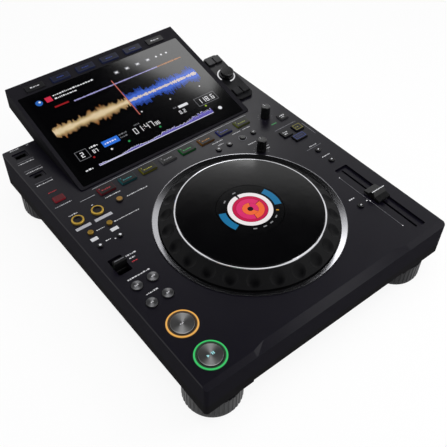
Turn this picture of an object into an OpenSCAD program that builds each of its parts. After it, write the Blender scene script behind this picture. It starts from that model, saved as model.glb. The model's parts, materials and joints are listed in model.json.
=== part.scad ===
// Tabletop media player for disc jockeys: a low console on four tall feet,
// with a large jog wheel, a sloping display housing that overhangs the back,
// a browse pod, a pitch fader and rows of keys.
// Millimetres, +Z up. The origin is the middle of the footprint, on the table.

/* [Body] */
// Width of the body
body_w = 329; // [325:1:360]
// Depth of the body, without the overhang of the display
body_d = 396; // [392:1:430]
// Height of the feet, which is also the height of the underside
foot_h = 33; // [26:1:45]
// Height of the body between its underside and its deck
body_h = 44; // [42:1:60]
// Height of the lower case half
tray_h = 14; // [12:1:16]
// Wall of the case halves
wall = 3; // [2:0.5:4]
// Thickness of the deck
deck_t = 3; // [2.5:0.5:4]
// Radius of the upright corners
corner_r = 4; // [3:0.5:12]
// Depth of the bevel along the front edge
bevel_d = 6; // [3:0.5:8]
// Drop of the bevel along the front edge
bevel_h = 3.3; // [1.5:0.1:5]
// Length of the wider middle stretch of that bevel, along its upper crease
bevel_mid_w = 180; // [80:1:240]
// Depth of the bevel along that middle stretch
bevel_mid_d = 9.5; // [8.5:0.5:12]
// Chamfer along the other deck edges
edge_c = 0.8; // [0.4:0.1:1.5]
// Width of the raised stretch in the lower edge of the front
skirt_w = 214; // [120:1:230]
// Height of that stretch
skirt_h = 3; // [1:0.5:5]

/* [Feet] */
// Radius of a foot
foot_r = 31; // [24:0.5:34]
// Distance of a foot's centre from the side of the body
foot_in_x = 32.3; // [31.5:0.1:44]
// Distance of a front foot's centre from the front
foot_in_front = 31.5; // [31.5:0.1:44]
// Distance of a rear foot's centre from the back
foot_in_rear = 31.5; // [31.5:0.1:44]
// Number of flutes round a foot
foot_flutes = 40; // [24:1:48]
// Radius of a flute
flute_r = 1.1; // [0.6:0.1:1.4]

/* [Jog wheel] */
// Distance of the jog wheel's centre from the front of the body
jog_front = 136; // [130:1:142]
// Outer radius of the silver ring round the well
ring_r = 105.7; // [103.5:0.1:106.5]
// Width of the silver ring
ring_w = 6.5; // [5:0.1:6.6]
// Drop of the silver ring's cone towards the wheel
ring_drop = 2.3; // [1.5:0.1:5]
// Gap between the silver ring and the wheel
jog_gap = 1.1; // [0.8:0.1:2]
// Height of the wheel's top above the deck
jog_rise = 14.7; // [12:0.1:20]
// Radius of the outer edge of the chrome trim
trim_r = 82.2; // [76:0.1:86]
// Radial width of the chrome trim
trim_w = 2.7; // [1.5:0.1:4]
// Thickness of the glossy top plate
plate_t = 3.6; // [2.5:0.1:5]
// Number of finger dimples
dimples = 24; // [12:1:28]
// Radius of the ball that forms a dimple
dimple_ball = 15; // [10:0.5:16]
// Depth of a dimple
dimple_depth = 2.5; // [0.5:0.1:2.6]
// Radius of the round display in the middle of the wheel
jog_display_r = 36.5; // [24:0.5:44]
// Radius of the fixed spindle
spindle_r = 8; // [6:0.5:12]
// Radial running clearance on the spindle
spindle_fit = 0.05; // [0.02:0.01:0.1]

/* [Display housing] */
// Width of the display housing
screen_w = 245; // [240:1:247]
// Length of its face, up the slope
screen_l = 175; // [160:1:200]
// Slope of the face
screen_tilt = 13; // [10:0.5:18]
// Distance of its lower edge from the front of the body
screen_front = 282.5; // [280:0.5:290]
// Height of its lower edge above the deck
screen_lift = 1; // [0.5:0.1:3]
// Thickness of the housing, square to its face
slab_t = 25; // [22:0.5:30]
// Depth of the front shell of the housing
bezel_t = 12; // [10:0.5:14]
// Wall of the housing
slab_wall = 2; // [1.6:0.1:2.4]
// Width of the glass
glass_w = 233; // [220:1:236]
// Length of the glass, up the slope
glass_l = 150; // [140:1:151]
// Distance of the glass from the lower edge of the face
glass_low = 3.2; // [3:0.1:4.5]
// Thickness of the glass
glass_t = 1.5; // [1:0.1:1.6]
// Width of the display panel behind the glass
lcd_w = 222; // [200:1:224]
// Length of the display panel, up the slope
lcd_l = 133; // [120:1:134]
// Distance of the display panel from the lower edge of the face
lcd_low = 16; // [15.5:0.1:17]

/* [Display keys] */
// Distance between neighbouring display keys
skey_pitch = 35.4; // [33:0.1:37]
// Width of a display key
skey_w = 25; // [20:0.5:31]
// Length of a display key
skey_l = 10; // [8:0.5:11]
// Distance of the keys' middle line from the lower edge of the face
skey_up = 162; // [161:0.1:166]
// Offset of the row to the left of the middle
skey_off = 1.4; // [0:0.1:4]

/* [Hot cue keys] */
// Distance between neighbouring hot cue keys
cue_pitch = 28.1; // [24:0.1:29]
// Width of a hot cue key
cue_key_w = 19.5; // [15:0.5:21]
// Length of a hot cue key
cue_key_l = 12; // [8:0.5:12.5]
// Distance of the row from the lower edge of the display
cue_row_back = 13.2; // [12.5:0.1:14]

/* [Play and cue] */
// Distance of both buttons from the left side
play_in = 26; // [25:0.5:27]
// Distance of the play button from the front
play_front = 26.5; // [26.5:0.5:29]
// Distance between the play and cue buttons
play_pitch = 43.2; // [42:0.1:44]
// Radius of the metal face of a button
play_r = 12.4; // [10:0.1:14.4]
// Width of the light ring round a button
light_w = 3.6; // [2:0.1:3.6]

/* [Left column] */
// Distance of the outer column of small buttons from the left side
col_outer = 16.5; // [15:0.5:18]
// Distance between the outer and inner columns
col_pitch = 24.2; // [21:0.1:25]
// Distance of the loop buttons from the front
loop_front = 246; // [244:1:248]
// Radius of a loop button
loop_r = 7; // [5:0.1:8]
// Distance of the loop exit button from the left side
exit_in = 69; // [66:1:74]
// Radius of the loop exit button
exit_r = 4; // [3:0.1:5]
// Distance of the upper pair of small buttons from the front
call_front = 222; // [220:1:224]
// Distance of the lower pair of small buttons from the front
memory_front = 200; // [198:1:202]
// Distance of the direction lever from the left side
lever_in = 18.5; // [17:0.5:20]
// Distance of the direction lever from the front
lever_front = 166; // [164:1:168]
// Distance of the rear search buttons from the front
search_front = 133; // [132:1:134]
// Distance between the two rows of search buttons
search_row = 26; // [20:0.5:27]
// Distance between the two columns of search buttons
search_pitch = 18.7; // [16:0.1:22]
// Radius of a search button
search_r = 6; // [4:0.1:6.5]
// Distance of the lit key beside the display from the front
side_key_front = 288; // [286:1:292]
// Width of that key
side_key_w = 13; // [9:0.5:15]
// Length of that key
side_key_l = 9; // [6:0.5:12]
// Distance of the compact port from the front
mini_front = 336.5; // [330:0.5:345]
// Distance of the memory stick port from the front
stick_front = 379; // [374:0.5:381]

/* [Right column] */
// Distance of the middle of the pitch fader from the right side
fader_in = 27.7; // [26:0.1:28]
// Distance of the middle of the pitch fader from the front
fader_front = 74.5; // [72:0.5:76]
// Travel of the pitch fader
fader_travel = 100; // [60:1:104]
// Distance of the cap, at rest, behind the middle
fader_rest = 2.5; // [0:0.5:5]
// Width of the shallow channel round the fader
channel_w = 19; // [14:0.5:20]
// Length of that channel
channel_l = 119.5; // [118:0.5:120]
// Depth of that channel
channel_depth = 2.5; // [1:0.1:3]
// Width of the fader cap
cap_w = 18; // [15:0.5:23]
// Length of the fader cap
cap_l = 23; // [16:0.5:26]
// Height of the fader cap above the deck
cap_h = 8.5; // [7:0.5:14]
// Width of the slot for the fader's blade
slot_w = 2.6; // [2.2:0.1:4]
// Distance of the tempo buttons from the right side
tempo_in = 26.3; // [24:0.1:28]
// Distance of the sync keys from the front
sync_front = 219; // [218:0.5:220]
// Distance of the single small key from the front
master_front = 247; // [245:1:249]

/* [Small controls] */
// Radius of the small round buttons
dot_r = 3.5; // [2.5:0.1:3.8]
// Distance of the row of small round buttons from the front
dot_front = 245.5; // [243:0.5:247]
// Height of a key's top above the deck
key_rise = 2; // [1:0.1:3]
// Gap round a key in its opening
key_fit = 0.4; // [0.35:0.05:0.6]
// Travel of a key
key_travel = 0.8; // [0.5:0.1:1]
// Width of the flange that keeps a key in
key_lip = 1; // [0.8:0.1:1.4]
// Radius of the tall knobs
knob_r = 5.9; // [4:0.1:6.2]
// Height of the tall knobs above the deck
knob_h = 17; // [10:0.5:20]

/* [Browse pod] */
// Gap between the display housing and the pod
pod_gap = 0.8; // [0.5:0.1:1.5]
// Width of the pod
pod_w = 26.6; // [26.4:0.1:30]
// Length of the pod, up the slope
pod_l = 82; // [80:1:86]
// Distance of the pod's front from the front of the body
pod_front = 304.5; // [300:0.5:308]
// Height of the pod's front above the deck
pod_lift = 3; // [2:0.1:5]
// Radius of the dished field round the browse knob
dish_r = 12.4; // [11:0.1:12.6]
// Depth of the dished field
dish_depth = 1.4; // [0.5:0.1:2]
// Radius of the browse knob
browse_r = 9; // [6:0.1:10]
// Height of the browse knob above the pod
browse_h = 9; // [7:0.5:14]
// Distance of the browse knob from the pod's front, up the slope
browse_up = 44; // [42:0.5:46]
// Height of the pod's keys above the pod
pod_key_rise = 3; // [1.5:0.1:4]

/* [Back panel] */
// Distance of the back panel's ends from the sides of the body
panel_side = 46.5; // [35:0.5:48]
// Height of the back panel
panel_h = 24; // [23:0.5:25]
// Thickness of the back panel
panel_t = 2; // [1.5:0.1:2.5]
// Radius of a phono socket
phono_r = 4.15; // [4:0.05:4.3]

/* [Hidden] */
$fn = 64;

bevel_taper = 15;

// Overall frame
screen_run = screen_l * cos(screen_tilt);
overall_d = max(body_d, screen_front + screen_run);
front_y = -overall_d / 2;
rear_y = front_y + body_d;
deck_z = foot_h + body_h;
split_z = foot_h + tray_h;
under_deck = deck_z - deck_t;
eps = 0.01;

// Places counted from the left side, the right side and the front of the body
function from_left(a) = -body_w / 2 + a;
function from_right(a) = body_w / 2 - a;
function from_front(a) = front_y + a;

// Jog wheel
jog_y = from_front(jog_front);
ring_in = ring_r - ring_w;
platter_r = ring_in - jog_gap;
plate_r = trim_r - trim_w;
jog_top = deck_z + jog_rise;
plate_z = jog_top - plate_t;
trim_crest = plate_r + 0.3;
trim_side = 1;
seat_fit = 0.2;
ring_edge = 0.7;
ring_seat_z = deck_z - 7;
well_r = ring_in + 0.4;
well_floor = deck_z - 17;
well_t = 2;
web_z = plate_z - 12;
web_t = 4;
hub_r = 14;
spindle_flange_r = 20;
spindle_flange_t = 3;
thrust_gap = 0.3;
skirt_z = deck_z - 7;
shell = 3;
display_gap = 0.5;
display_t = 7.4;

// Display housing
screen_z = deck_z + screen_lift;
screen_y = from_front(screen_front);
screen_end = screen_y + screen_run;
face_t = 2.5;
glass_fit = 0.25;
glass_y = glass_low + glass_l / 2;
glass_x = -1;
lcd_t = 2;
lcd_y = lcd_low + lcd_l / 2;
window_fit = 0.5;
backlight_t = 6;
backlight_low = 50;

// Keys: a cap through the deck, a flange below it and a stem on a switch
flange_t = 1.2;
flange_gap = 0.3;
stem_r = 1.5;
board_z = deck_z - 17;
board_t = 1.6;
switch_h = 4;
switch_w = 6;
switch_gap = key_travel + 0.4;
encoder_r = 4.5;
shaft_deep = deck_t + 5;
stem_len = deck_z - board_z - board_t - switch_h - switch_gap;

// Lists of places, each [x, y]
play_place = [from_left(play_in), from_front(play_front)];
cue_place = play_place + [0, play_pitch];
loop_x = from_left(col_outer);
loop_places = [for (i = [0:1]) [loop_x + i * col_pitch, from_front(loop_front)]];
exit_place = [from_left(exit_in), from_front(loop_front)];
call_places = [for (i = [0:1]) [loop_x + 1.5 + i * (col_pitch - 1), from_front(call_front)]];
memory_places = [for (i = [0:1]) [loop_x + i * col_pitch, from_front(memory_front)]];
search_x = from_left(col_outer + 0.8);
search_places = [for (j = [0:1], i = [0:1])
    [search_x + i * search_pitch, from_front(search_front - j * search_row)]];
hot_cue_places = [for (i = [0:7]) [(i - 3.5) * cue_pitch, screen_y - cue_row_back]];
dot_places = [for (a = [120.5, 104, 83.5, 66.5]) [from_right(a), from_front(dot_front)]];
tempo_x = from_right(tempo_in);
tempo_places = [[tempo_x, from_front(172.5)], [tempo_x + 0.3, from_front(150)],
    [from_right(55), from_front(75.5)]];
side_key_place = [loop_x + 0.5, from_front(side_key_front)];
master_place = [from_right(17), from_front(master_front)];
master_size = [12.5, 11];
sync_places = [[from_right(36.3), from_front(sync_front)],
    [from_right(16.5), from_front(sync_front + 0.5)],
    [from_right(26.5), from_front(sync_front - 14)]];
sync_sizes = [[13.5, 12.5], [13.5, 12], [18.5, 11]];
knob_places = [[from_right(80.5), from_front(214)], [from_right(34.5), from_front(260)]];
fader_x = from_right(fader_in);
fader_y = from_front(fader_front);
cap_y = fader_y + fader_rest;
lever_place = [from_left(lever_in), from_front(lever_front)];
stick_place = [loop_x, from_front(stick_front)];
mini_place = [loop_x, from_front(mini_front)];

// Radii of the round caps
small_left = [for (p = call_places) [p, dot_r - 0.3], for (p = memory_places) [p, dot_r - 0.6]];
small_right = [for (p = dot_places) [p, dot_r], for (p = tempo_places) [p, dot_r]];

// Direction lever
lever_w = 14;
lever_t = 6;
lever_h = 8.5;
lever_swing = 14;
lever_z = deck_z - 7;
lever_pin_r = 1.6;
lever_pin_fit = 0.06;
lever_slot = [lever_w + 1.6, lever_t + 2 * (deck_z - lever_z) * tan(lever_swing) + 14.5];
lever_well = 8;

// Pitch fader
fader_floor = 3;
blade_w = 1.4;
blade_l = 9;
blade_deep = 12;
carriage_l = 14;
carriage_h = 4;
channel_z = deck_z - channel_depth;
fader_body_w = 15;
fader_body_z = channel_z - fader_floor;
fader_body_h = 12;
fader_skin = 1.2;
fader_body_l = fader_travel + 24;

// Browse pod
pod_left = screen_w / 2 + pod_gap;
pod_x = pod_left + pod_w / 2;
pod_y = from_front(pod_front);
pod_z = deck_z + pod_lift;
pod_corner = 7;
pod_key_w = 10.6;
pod_key_l = 12;
pod_key_split = 11.8;
pod_front_keys = 13.2;
pod_rear_keys = pod_l - 9.5;
pod_wall = 1.6;
pod_inner_corner = 4;
shaft_r = 3;
knob_bore_fit = 0.05;

// Back panel and its sockets
panel_z = split_z + (deck_z - split_z) / 2 - 1;
panel_y = rear_y - wall / 2;
panel_w = body_w - 2 * panel_side;
panel_back = panel_t + wall / 2 + 1;
phono_x = [24, 4, -16];
stud_len = 9;
jack_deep = 16;
jack_board_z = panel_z - 7;
lan_x = from_right(112.5);
usb_x = from_right(88.5);
inlet_x = from_left(72.5);
power_x = from_left(106.5);
supply_w = 74;
supply_l = 74;
supply_h = 30;
supply_y = rear_y - 61;
main_board_w = 170;
main_board_l = 120;
main_board_z = foot_h + wall + 6;
panel_board_front = 16;
panel_board_side = 5;
board_gap = 1;
socket_board_z = under_deck - 14.6;

// Case fixing
pillar_r = 4.5;
rib_h = 3;
lip_t = 1.2;
lip_h = 2;
lip_fit = 0.2;
pillar_in = wall + lip_fit + lip_t + pillar_r + 0.1;
screw_r = 1.5;
pillar_rows = [from_front(94), from_front(188), rear_y - 78];
pillar_places = [for (x = [from_left(pillar_in), from_right(pillar_in)], y = pillar_rows) [x, y]];
foot_places = [for (x = [from_left(foot_in_x), from_right(foot_in_x)],
    y = [from_front(foot_in_front), rear_y - foot_in_rear]) [x, y]];

case_color = [0.13, 0.13, 0.14];
key_color = [0.2, 0.2, 0.21];
metal_color = [0.7, 0.7, 0.72];
board_color = [0.05, 0.3, 0.16];

// ---- shared shapes -------------------------------------------------------

// Flat rectangle with round corners
module rounded(w, d, r) {
    union() {
        square([w - 2 * r, d], center = true);
        square([w, d - 2 * r], center = true);
        for (x = [-1, 1], y = [-1, 1])
            translate([x * (w / 2 - r), y * (d / 2 - r)]) circle(r);
    }
}

// Upright block with round corners, from z0 to z1
module block(w, d, r, z0, z1) {
    translate([0, 0, z0]) linear_extrude(z1 - z0) rounded(w, d, r);
}

// Upright cylinder from z0 to z1
module post(r, z0, z1) {
    translate([0, 0, z0]) cylinder(r = r, h = z1 - z0);
}

// Plain box from one corner to the other
module span(low, high) {
    translate(low) cube(high - low);
}

// Places its child at a point of a list of [x, y], at height z
module at(place, z = 0) {
    translate([place[0], place[1], z]) children();
}

// Frame of the display's face: x across, y up the slope, z out of the face
module on_screen() {
    translate([0, screen_y, screen_z]) rotate([screen_tilt, 0, 0]) children();
}

// Frame of the pod's face
module on_pod() {
    translate([pod_x, pod_y, pod_z]) rotate([screen_tilt, 0, 0]) children();
}

// Key with square outline: top at rise above the face it comes through,
// kept in by a flange of its own size below that face
module square_key(w, l, rise, face, stem, flange) {
    block(w, l, 1.2, -face - flange_gap - flange_t, rise - 0.4);
    block(w - 0.8, l - 0.8, 0.8, rise - 0.4 - eps, rise);
    block(flange[0], flange[1], 1.2, -face - flange_gap - flange_t, -face - flange_gap);
    post(stem_r, -stem, -face);
}

// Square key with a flange on all four sides, in the deck
module deck_key(size, rise) {
    square_key(size[0], size[1], rise, deck_t, stem_len, [size[0] + 2 * key_lip, size[1] + 2 * key_lip]);
}

// Round button: top at rise above the face it comes through
module round_key(r, rise, face, stem) {
    translate([0, 0, -face]) rotate_extrude()
        polygon([[0, -1], [r, -1], [r, face + rise - 0.5], [r - 0.5, face + rise], [0, face + rise]]);
    post(r + key_lip, -face - flange_gap - flange_t, -face - flange_gap);
    post(stem_r, -stem, -face);
}

// Opening for a square key
module key_hole(w, l, depth) {
    block(w + 2 * key_fit, l + 2 * key_fit, 1.2 + key_fit, -depth, 1);
}

// Outline of the case seen from above, drawn in by inset
module case_outline(inset) {
    translate([0, (front_y + rear_y) / 2])
        rounded(body_w - 2 * inset, body_d - 2 * inset, max(corner_r - inset, 1));
}

// Prism along X with a triangular section in Y and Z
module ridge_cut(length, points) {
    rotate([90, 0, 90]) linear_extrude(length, center = true) polygon(points);
}

// ---- case ----------------------------------------------------------------

module bottom_case() {
    color(case_color) difference() {
        union() {
            difference() {
                translate([0, 0, foot_h]) linear_extrude(tray_h) case_outline(0);
                translate([0, 0, foot_h + wall]) linear_extrude(tray_h) case_outline(wall);
            }
            translate([0, 0, foot_h + eps]) linear_extrude(tray_h + lip_h) difference() {
                case_outline(wall + lip_fit);
                case_outline(wall + lip_fit + lip_t);
            }
            translate([0, 0, foot_h + eps]) linear_extrude(tray_h - 1) difference() {
                case_outline(wall / 2);
                case_outline(wall + lip_fit + lip_t);
            }
            for (p = pillar_places) at(p) post(pillar_r, foot_h + eps, split_z - 0.4);
            for (x = [-98.5, 0, 98.5])
                span([x - 1, front_y + wall - eps, foot_h + wall - eps],
                    [x + 1, rear_y - wall + eps, foot_h + wall + rib_h]);
        }
        span([-skirt_w / 2, front_y - 1, foot_h - 1], [skirt_w / 2, front_y + wall + 2, foot_h + skirt_h]);
        for (p = pillar_places) at(p) {
            post(screw_r + 0.2, foot_h - 1, split_z + 1);
            post(screw_r + 1.8, foot_h - 1, foot_h + 4);
        }
        for (p = foot_places) at(p) post(2.2, foot_h - 1, foot_h + wall + 4);
        for (s = [-1, 1], i = [0:6]) translate([s * (9 + i * 9), jog_y + 96, foot_h + wall / 2])
            cube([4.5, 40, wall + 2], center = true);
    }
    color(case_color) span([-skirt_w / 2 - 4, front_y + wall - eps, foot_h + wall],
        [skirt_w / 2 + 4, front_y + wall + 5, foot_h + wall + skirt_h + 3]);
}

// Opening in the back wall for the back panel
module back_cut() {
    span([-panel_w / 2, rear_y - wall - 1, panel_z - panel_h / 2],
        [panel_w / 2, rear_y + 1, panel_z + panel_h / 2]);
}

module top_case() {
    color(case_color) difference() {
        union() {
            difference() {
                translate([0, 0, split_z]) linear_extrude(deck_z - split_z) case_outline(0);
                translate([0, 0, split_z - 1]) linear_extrude(under_deck - split_z + 1)
                    case_outline(wall);
            }
            at([0, jog_y]) post(ring_r + seat_fit + wall, well_floor - well_t, deck_z - 1);
            for (p = pillar_places) at(p) post(pillar_r, split_z, deck_z - 1);
            at([fader_x, fader_y]) block(channel_w + 6, channel_l + 4, 2, fader_body_z, deck_z - 1);
            at(lever_place)
                block(lever_slot[0] + 5, lever_slot[1] + 4, 2, deck_z - lever_well - 2, deck_z - 1);
            for (p = [play_place, cue_place]) at(p)
                post(play_r + light_w + 2.6, under_deck - 1, deck_z - 1);
        }
        at([0, jog_y]) {
            post(ring_r + seat_fit, ring_seat_z, deck_z + 1);
            post(well_r, well_floor, deck_z);
            post(spindle_r - 2, well_floor - well_t - 1, well_floor + 1);
        }
        front_bevel();
        side_chamfers();
        at([fader_x, fader_y]) {
            block(channel_w, channel_l, 1.5, channel_z, deck_z + 1);
            block(slot_w, fader_travel + blade_l + 4, slot_w / 2 - eps, fader_body_z - 1, deck_z);
        }
        at(lever_place) block(lever_slot[0], lever_slot[1], 1.5, deck_z - lever_well - 3, deck_z + 1);
        at(lever_place, lever_z) rotate([0, 90, 0])
            cylinder(r = lever_pin_r + lever_pin_fit, h = lever_slot[0] + 8, center = true);
        for (p = [play_place, cue_place]) at(p) {
            post(play_r + light_w + seat_fit, under_deck - 2, deck_z + 1);
            post(play_r + light_w + 1.6, under_deck - 2, under_deck + 1);
        }
        deck_holes();
        for (p = pillar_places) at(p) post(screw_r - 0.3, split_z - 1, split_z + 16);
        at(stick_place) {
            block(17.5, 13, 1.5, deck_z - 1.2, deck_z + 1);
            block(14.6, 7.4, 0.6, under_deck - 1, deck_z);
        }
        at(mini_place) {
            block(17.5, 10, 1.5, deck_z - 1.2, deck_z + 1);
            block(10.8, 5.4, 2, under_deck - 1, deck_z);
        }
        back_cut();
        at([0, screen_y + 60]) block(110, 60, 3, under_deck - 1, deck_z + 1);
        at([pod_x, pod_y + 35]) block(pod_w - 3.6, 62, 2, under_deck - 1, deck_z + 1);
    }
}

// Bevel along the front edge, with a wider middle stretch that tapers out at its ends
module front_bevel() {
    ridge_cut(body_w + 2, [[front_y - 1, deck_z - bevel_h - bevel_h / bevel_d],
        [front_y + bevel_d, deck_z], [front_y + bevel_d, deck_z + 1], [front_y - 1, deck_z + 1]]);
    hull() for (z = [0, 1]) translate([0, 0, z]) {
        ridge_cut(bevel_mid_w, [[front_y, deck_z - bevel_h],
            [front_y + bevel_mid_d, deck_z], [front_y, deck_z]]);
        ridge_cut(bevel_mid_w + 2 * bevel_taper, [[front_y, deck_z - bevel_h],
            [front_y + bevel_d, deck_z], [front_y, deck_z]]);
    }
}

// Chamfers along the two sides and the back of the deck
module side_chamfers() {
    for (s = [-1, 1]) translate([s * body_w / 2, (front_y + rear_y) / 2, deck_z])
        rotate([0, 45, 0]) cube([edge_c * 1.42, body_d + 2, edge_c * 1.42], center = true);
    translate([0, rear_y, deck_z]) rotate([45, 0, 0])
        cube([body_w + 2, edge_c * 1.42, edge_c * 1.42], center = true);
}

// Openings for every key, button and knob in the deck
module deck_holes() {
    for (p = hot_cue_places) at(p, deck_z) key_hole(cue_key_w, cue_key_l, deck_t + 1);
    for (i = [0:2]) at(sync_places[i], deck_z) key_hole(sync_sizes[i][0], sync_sizes[i][1], deck_t + 1);
    at(master_place, deck_z) key_hole(master_size[0], master_size[1], deck_t + 1);
    at(side_key_place, deck_z) key_hole(side_key_w, side_key_l, deck_t + 1);
    for (b = concat(small_left, small_right)) at(b[0], deck_z) post(b[1] + key_fit, -deck_t - 1, 1);
    for (p = loop_places) at(p, deck_z) post(loop_r + key_fit, -deck_t - 1, 1);
    at(exit_place, deck_z) post(exit_r + key_fit, -deck_t - 1, 1);
    for (p = search_places) at(p, deck_z) post(search_r + key_fit, -deck_t - 1, 1);
    for (p = knob_places) at(p, deck_z) post(shaft_r + key_fit, -deck_t - 1, 1);
}

// One foot: a fluted drum with a soft edge on the table and a recessed fixing
module foot() {
    difference() {
        union() {
            rotate_extrude() polygon([[0, 0], [foot_r - 2.5, 0], [foot_r - 1.2, 1.2],
                [foot_r - 1.2, 4], [0, 4]]);
            translate([0, 0, 4 - eps]) linear_extrude(foot_h - 9) difference() {
                circle(foot_r);
                for (i = [0:foot_flutes - 1]) rotate(i * 360 / foot_flutes)
                    translate([foot_r + flute_r * 0.35, 0]) circle(flute_r, $fn = 24);
            }
            post(foot_r - 1.8, foot_h - 6, foot_h);
        }
        post(6, -1, 8);
        post(2.2, 7, foot_h + 1);
    }
}

module feet() {
    color([0.1, 0.1, 0.11]) for (p = foot_places) at(p) foot();
}

module case_screws() {
    color(metal_color) {
        for (p = pillar_places) at(p) {
            post(screw_r + 1.2, foot_h + 1.6, foot_h + 4);
            post(screw_r - 0.35, foot_h + 3, split_z + 12);
        }
        for (p = foot_places) at(p) {
            post(4, 5.4, 8);
            post(1.9, 8 - eps, foot_h + wall + 1.5);
        }
    }
}

// ---- jog wheel -----------------------------------------------------------

module jog_well_ring() {
    color(metal_color) at([0, jog_y]) rotate_extrude()
        polygon([[ring_in, ring_seat_z], [ring_in, deck_z + 1 - ring_drop], [ring_r - ring_edge, deck_z + 1],
            [ring_r, deck_z + 1], [ring_r, ring_seat_z]]);
}

module jog_spindle() {
    color(metal_color) at([0, jog_y]) difference() {
        union() {
            post(spindle_flange_r, well_floor, well_floor + spindle_flange_t);
            post(spindle_r, well_floor, jog_top - display_t);
        }
        post(spindle_r - 3, well_floor - 1, jog_top);
    }
}

module jog_display() {
    color([0.04, 0.04, 0.05]) at([0, jog_y]) difference() {
        union() {
            post(jog_display_r, jog_top - display_t + 3, jog_top - 0.3);
            post(hub_r, web_z + web_t + thrust_gap, jog_top - display_t + 4);
        }
        post(spindle_r, web_z, jog_top - display_t);
    }
}

// Section of the wheel: hub, web, rim shoulder and sloping skirt
module jog_platter() {
    slope_out = [platter_r, deck_z];
    slope_in = [trim_r + 0.1, plate_z + 0.4];
    run = slope_in - slope_out;
    out = [run[1], -run[0]] / norm(run);
    mid = (slope_out + slope_in) / 2 + out * (dimple_ball - dimple_depth);
    color([0.1, 0.1, 0.11]) at([0, jog_y]) difference() {
        rotate_extrude() polygon([
            [spindle_r + spindle_fit, well_floor + spindle_flange_t + thrust_gap],
            [hub_r, well_floor + spindle_flange_t + thrust_gap],
            [hub_r, web_z],
            [plate_r - 9, web_z],
            [plate_r - 9, plate_z - shell],
            [trim_r - 1.5, plate_z - shell],
            [platter_r - shell, deck_z - shell * 0.8],
            [platter_r - shell, skirt_z],
            [platter_r, skirt_z],
            slope_out,
            slope_in,
            [trim_r + 0.1, plate_z],
            [plate_r - 12, plate_z],
            [plate_r - 12, web_z + web_t],
            [spindle_r + spindle_fit, web_z + web_t]]);
        for (i = [0:dimples - 1]) rotate((i + 0.5) * 360 / dimples)
            translate([-mid[0], 0, mid[1]]) sphere(dimple_ball);
    }
}

module jog_top_plate() {
    color([0.02, 0.02, 0.02]) at([0, jog_y]) rotate_extrude()
        polygon([[jog_display_r + display_gap, plate_z], [plate_r, plate_z], [plate_r, jog_top - 0.2],
            [jog_display_r + display_gap, jog_top - 0.2]]);
}

module jog_trim_ring() {
    color([0.85, 0.85, 0.86]) at([0, jog_y]) rotate_extrude()
        polygon(concat([[plate_r, jog_top], [plate_r, plate_z], [trim_r, plate_z]],
            [for (a = [0:15:90]) [trim_crest + (trim_r - trim_crest) * cos(a),
                plate_z + trim_side + (plate_t - trim_side) * sin(a)]]));
}

// ---- display housing -----------------------------------------------------

// Everything outside the housing: below the deck and past its upright back end
module slab_limits() {
    span([-screen_w, screen_y - 60, deck_z - 120], [screen_w, screen_end + 60, deck_z]);
    span([-screen_w, screen_end, deck_z - 60], [screen_w, screen_end + 60, deck_z + 200]);
}

// Slice of the housing between two depths under its face
module slab(low, high, inset) {
    on_screen() translate([0, (screen_l + 12) / 2, 0])
        block(screen_w - 2 * inset, screen_l + 12 - 2 * inset, 3, low, high);
}

module screen_bezel() {
    color(case_color) difference() {
        slab(-bezel_t, 0, 0);
        difference() {
            slab(-bezel_t - 1, -face_t, slab_wall);
            translate([-screen_w, screen_end - slab_wall, deck_z]) cube([2 * screen_w, 60, 200]);
        }
        on_screen() {
            translate([glass_x, glass_y, 0])
                block(glass_w + 2 * glass_fit, glass_l + 2 * glass_fit, 2 + glass_fit, -glass_t - 0.1, 1);
            translate([glass_x, lcd_y, 0])
                block(lcd_w + 2 * window_fit, lcd_l + 2 * window_fit, 1 + window_fit, -face_t - 1, 1);
            for (i = [0:5]) translate([(i - 2.5) * skey_pitch - skey_off, skey_up, 0])
                key_hole(skey_w, skey_l, face_t + 1);
        }
        slab_limits();
    }
}

module screen_back_cover() {
    color(case_color) difference() {
        slab(-slab_t, -bezel_t, 0);
        difference() {
            slab(-slab_t + slab_wall, -bezel_t + 1, slab_wall);
            translate([-screen_w, screen_end - slab_wall, deck_z]) cube([2 * screen_w, 60, 200]);
        }
        slab_limits();
        for (i = [-9:9]) on_screen() translate([i * 9, screen_l * 0.84, -slab_t])
            cube([4, 16, 12], center = true);
    }
}

module screen_glass() {
    color([0.03, 0.03, 0.04]) on_screen() translate([glass_x, glass_y, 0])
        block(glass_w, glass_l, 2, -glass_t - 0.1, -0.1);
}

// Display panel with its backlight and driver box, where the housing is deep enough
module lcd_module() {
    color([0.3, 0.3, 0.32]) on_screen() {
        translate([glass_x, lcd_y, 0]) block(lcd_w, lcd_l, 1, -glass_t - 0.1 - lcd_t, -glass_t - 0.1);
        translate([glass_x, (backlight_low + lcd_low + lcd_l) / 2, 0])
            block(lcd_w - 4, lcd_low + lcd_l - backlight_low, 1,
                -glass_t - lcd_t - backlight_t, -glass_t - lcd_t);
    }
}

module screen_key(i) {
    color(key_color) on_screen() translate([(i - 2.5) * skey_pitch - skey_off, skey_up, 0])
        square_key(skey_w, skey_l, key_rise - 0.2, face_t, face_t + 4, [skey_w + 2 * key_lip, skey_l - 3]);
}

// ---- browse pod ----------------------------------------------------------

// Slice of the pod between two depths under its face
module pod_face(low, high, inset, corner) {
    on_pod() translate([0, pod_l / 2, 0])
        block(pod_w - 2 * inset, pod_l - 2 * inset, corner, low, high);
}

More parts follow.
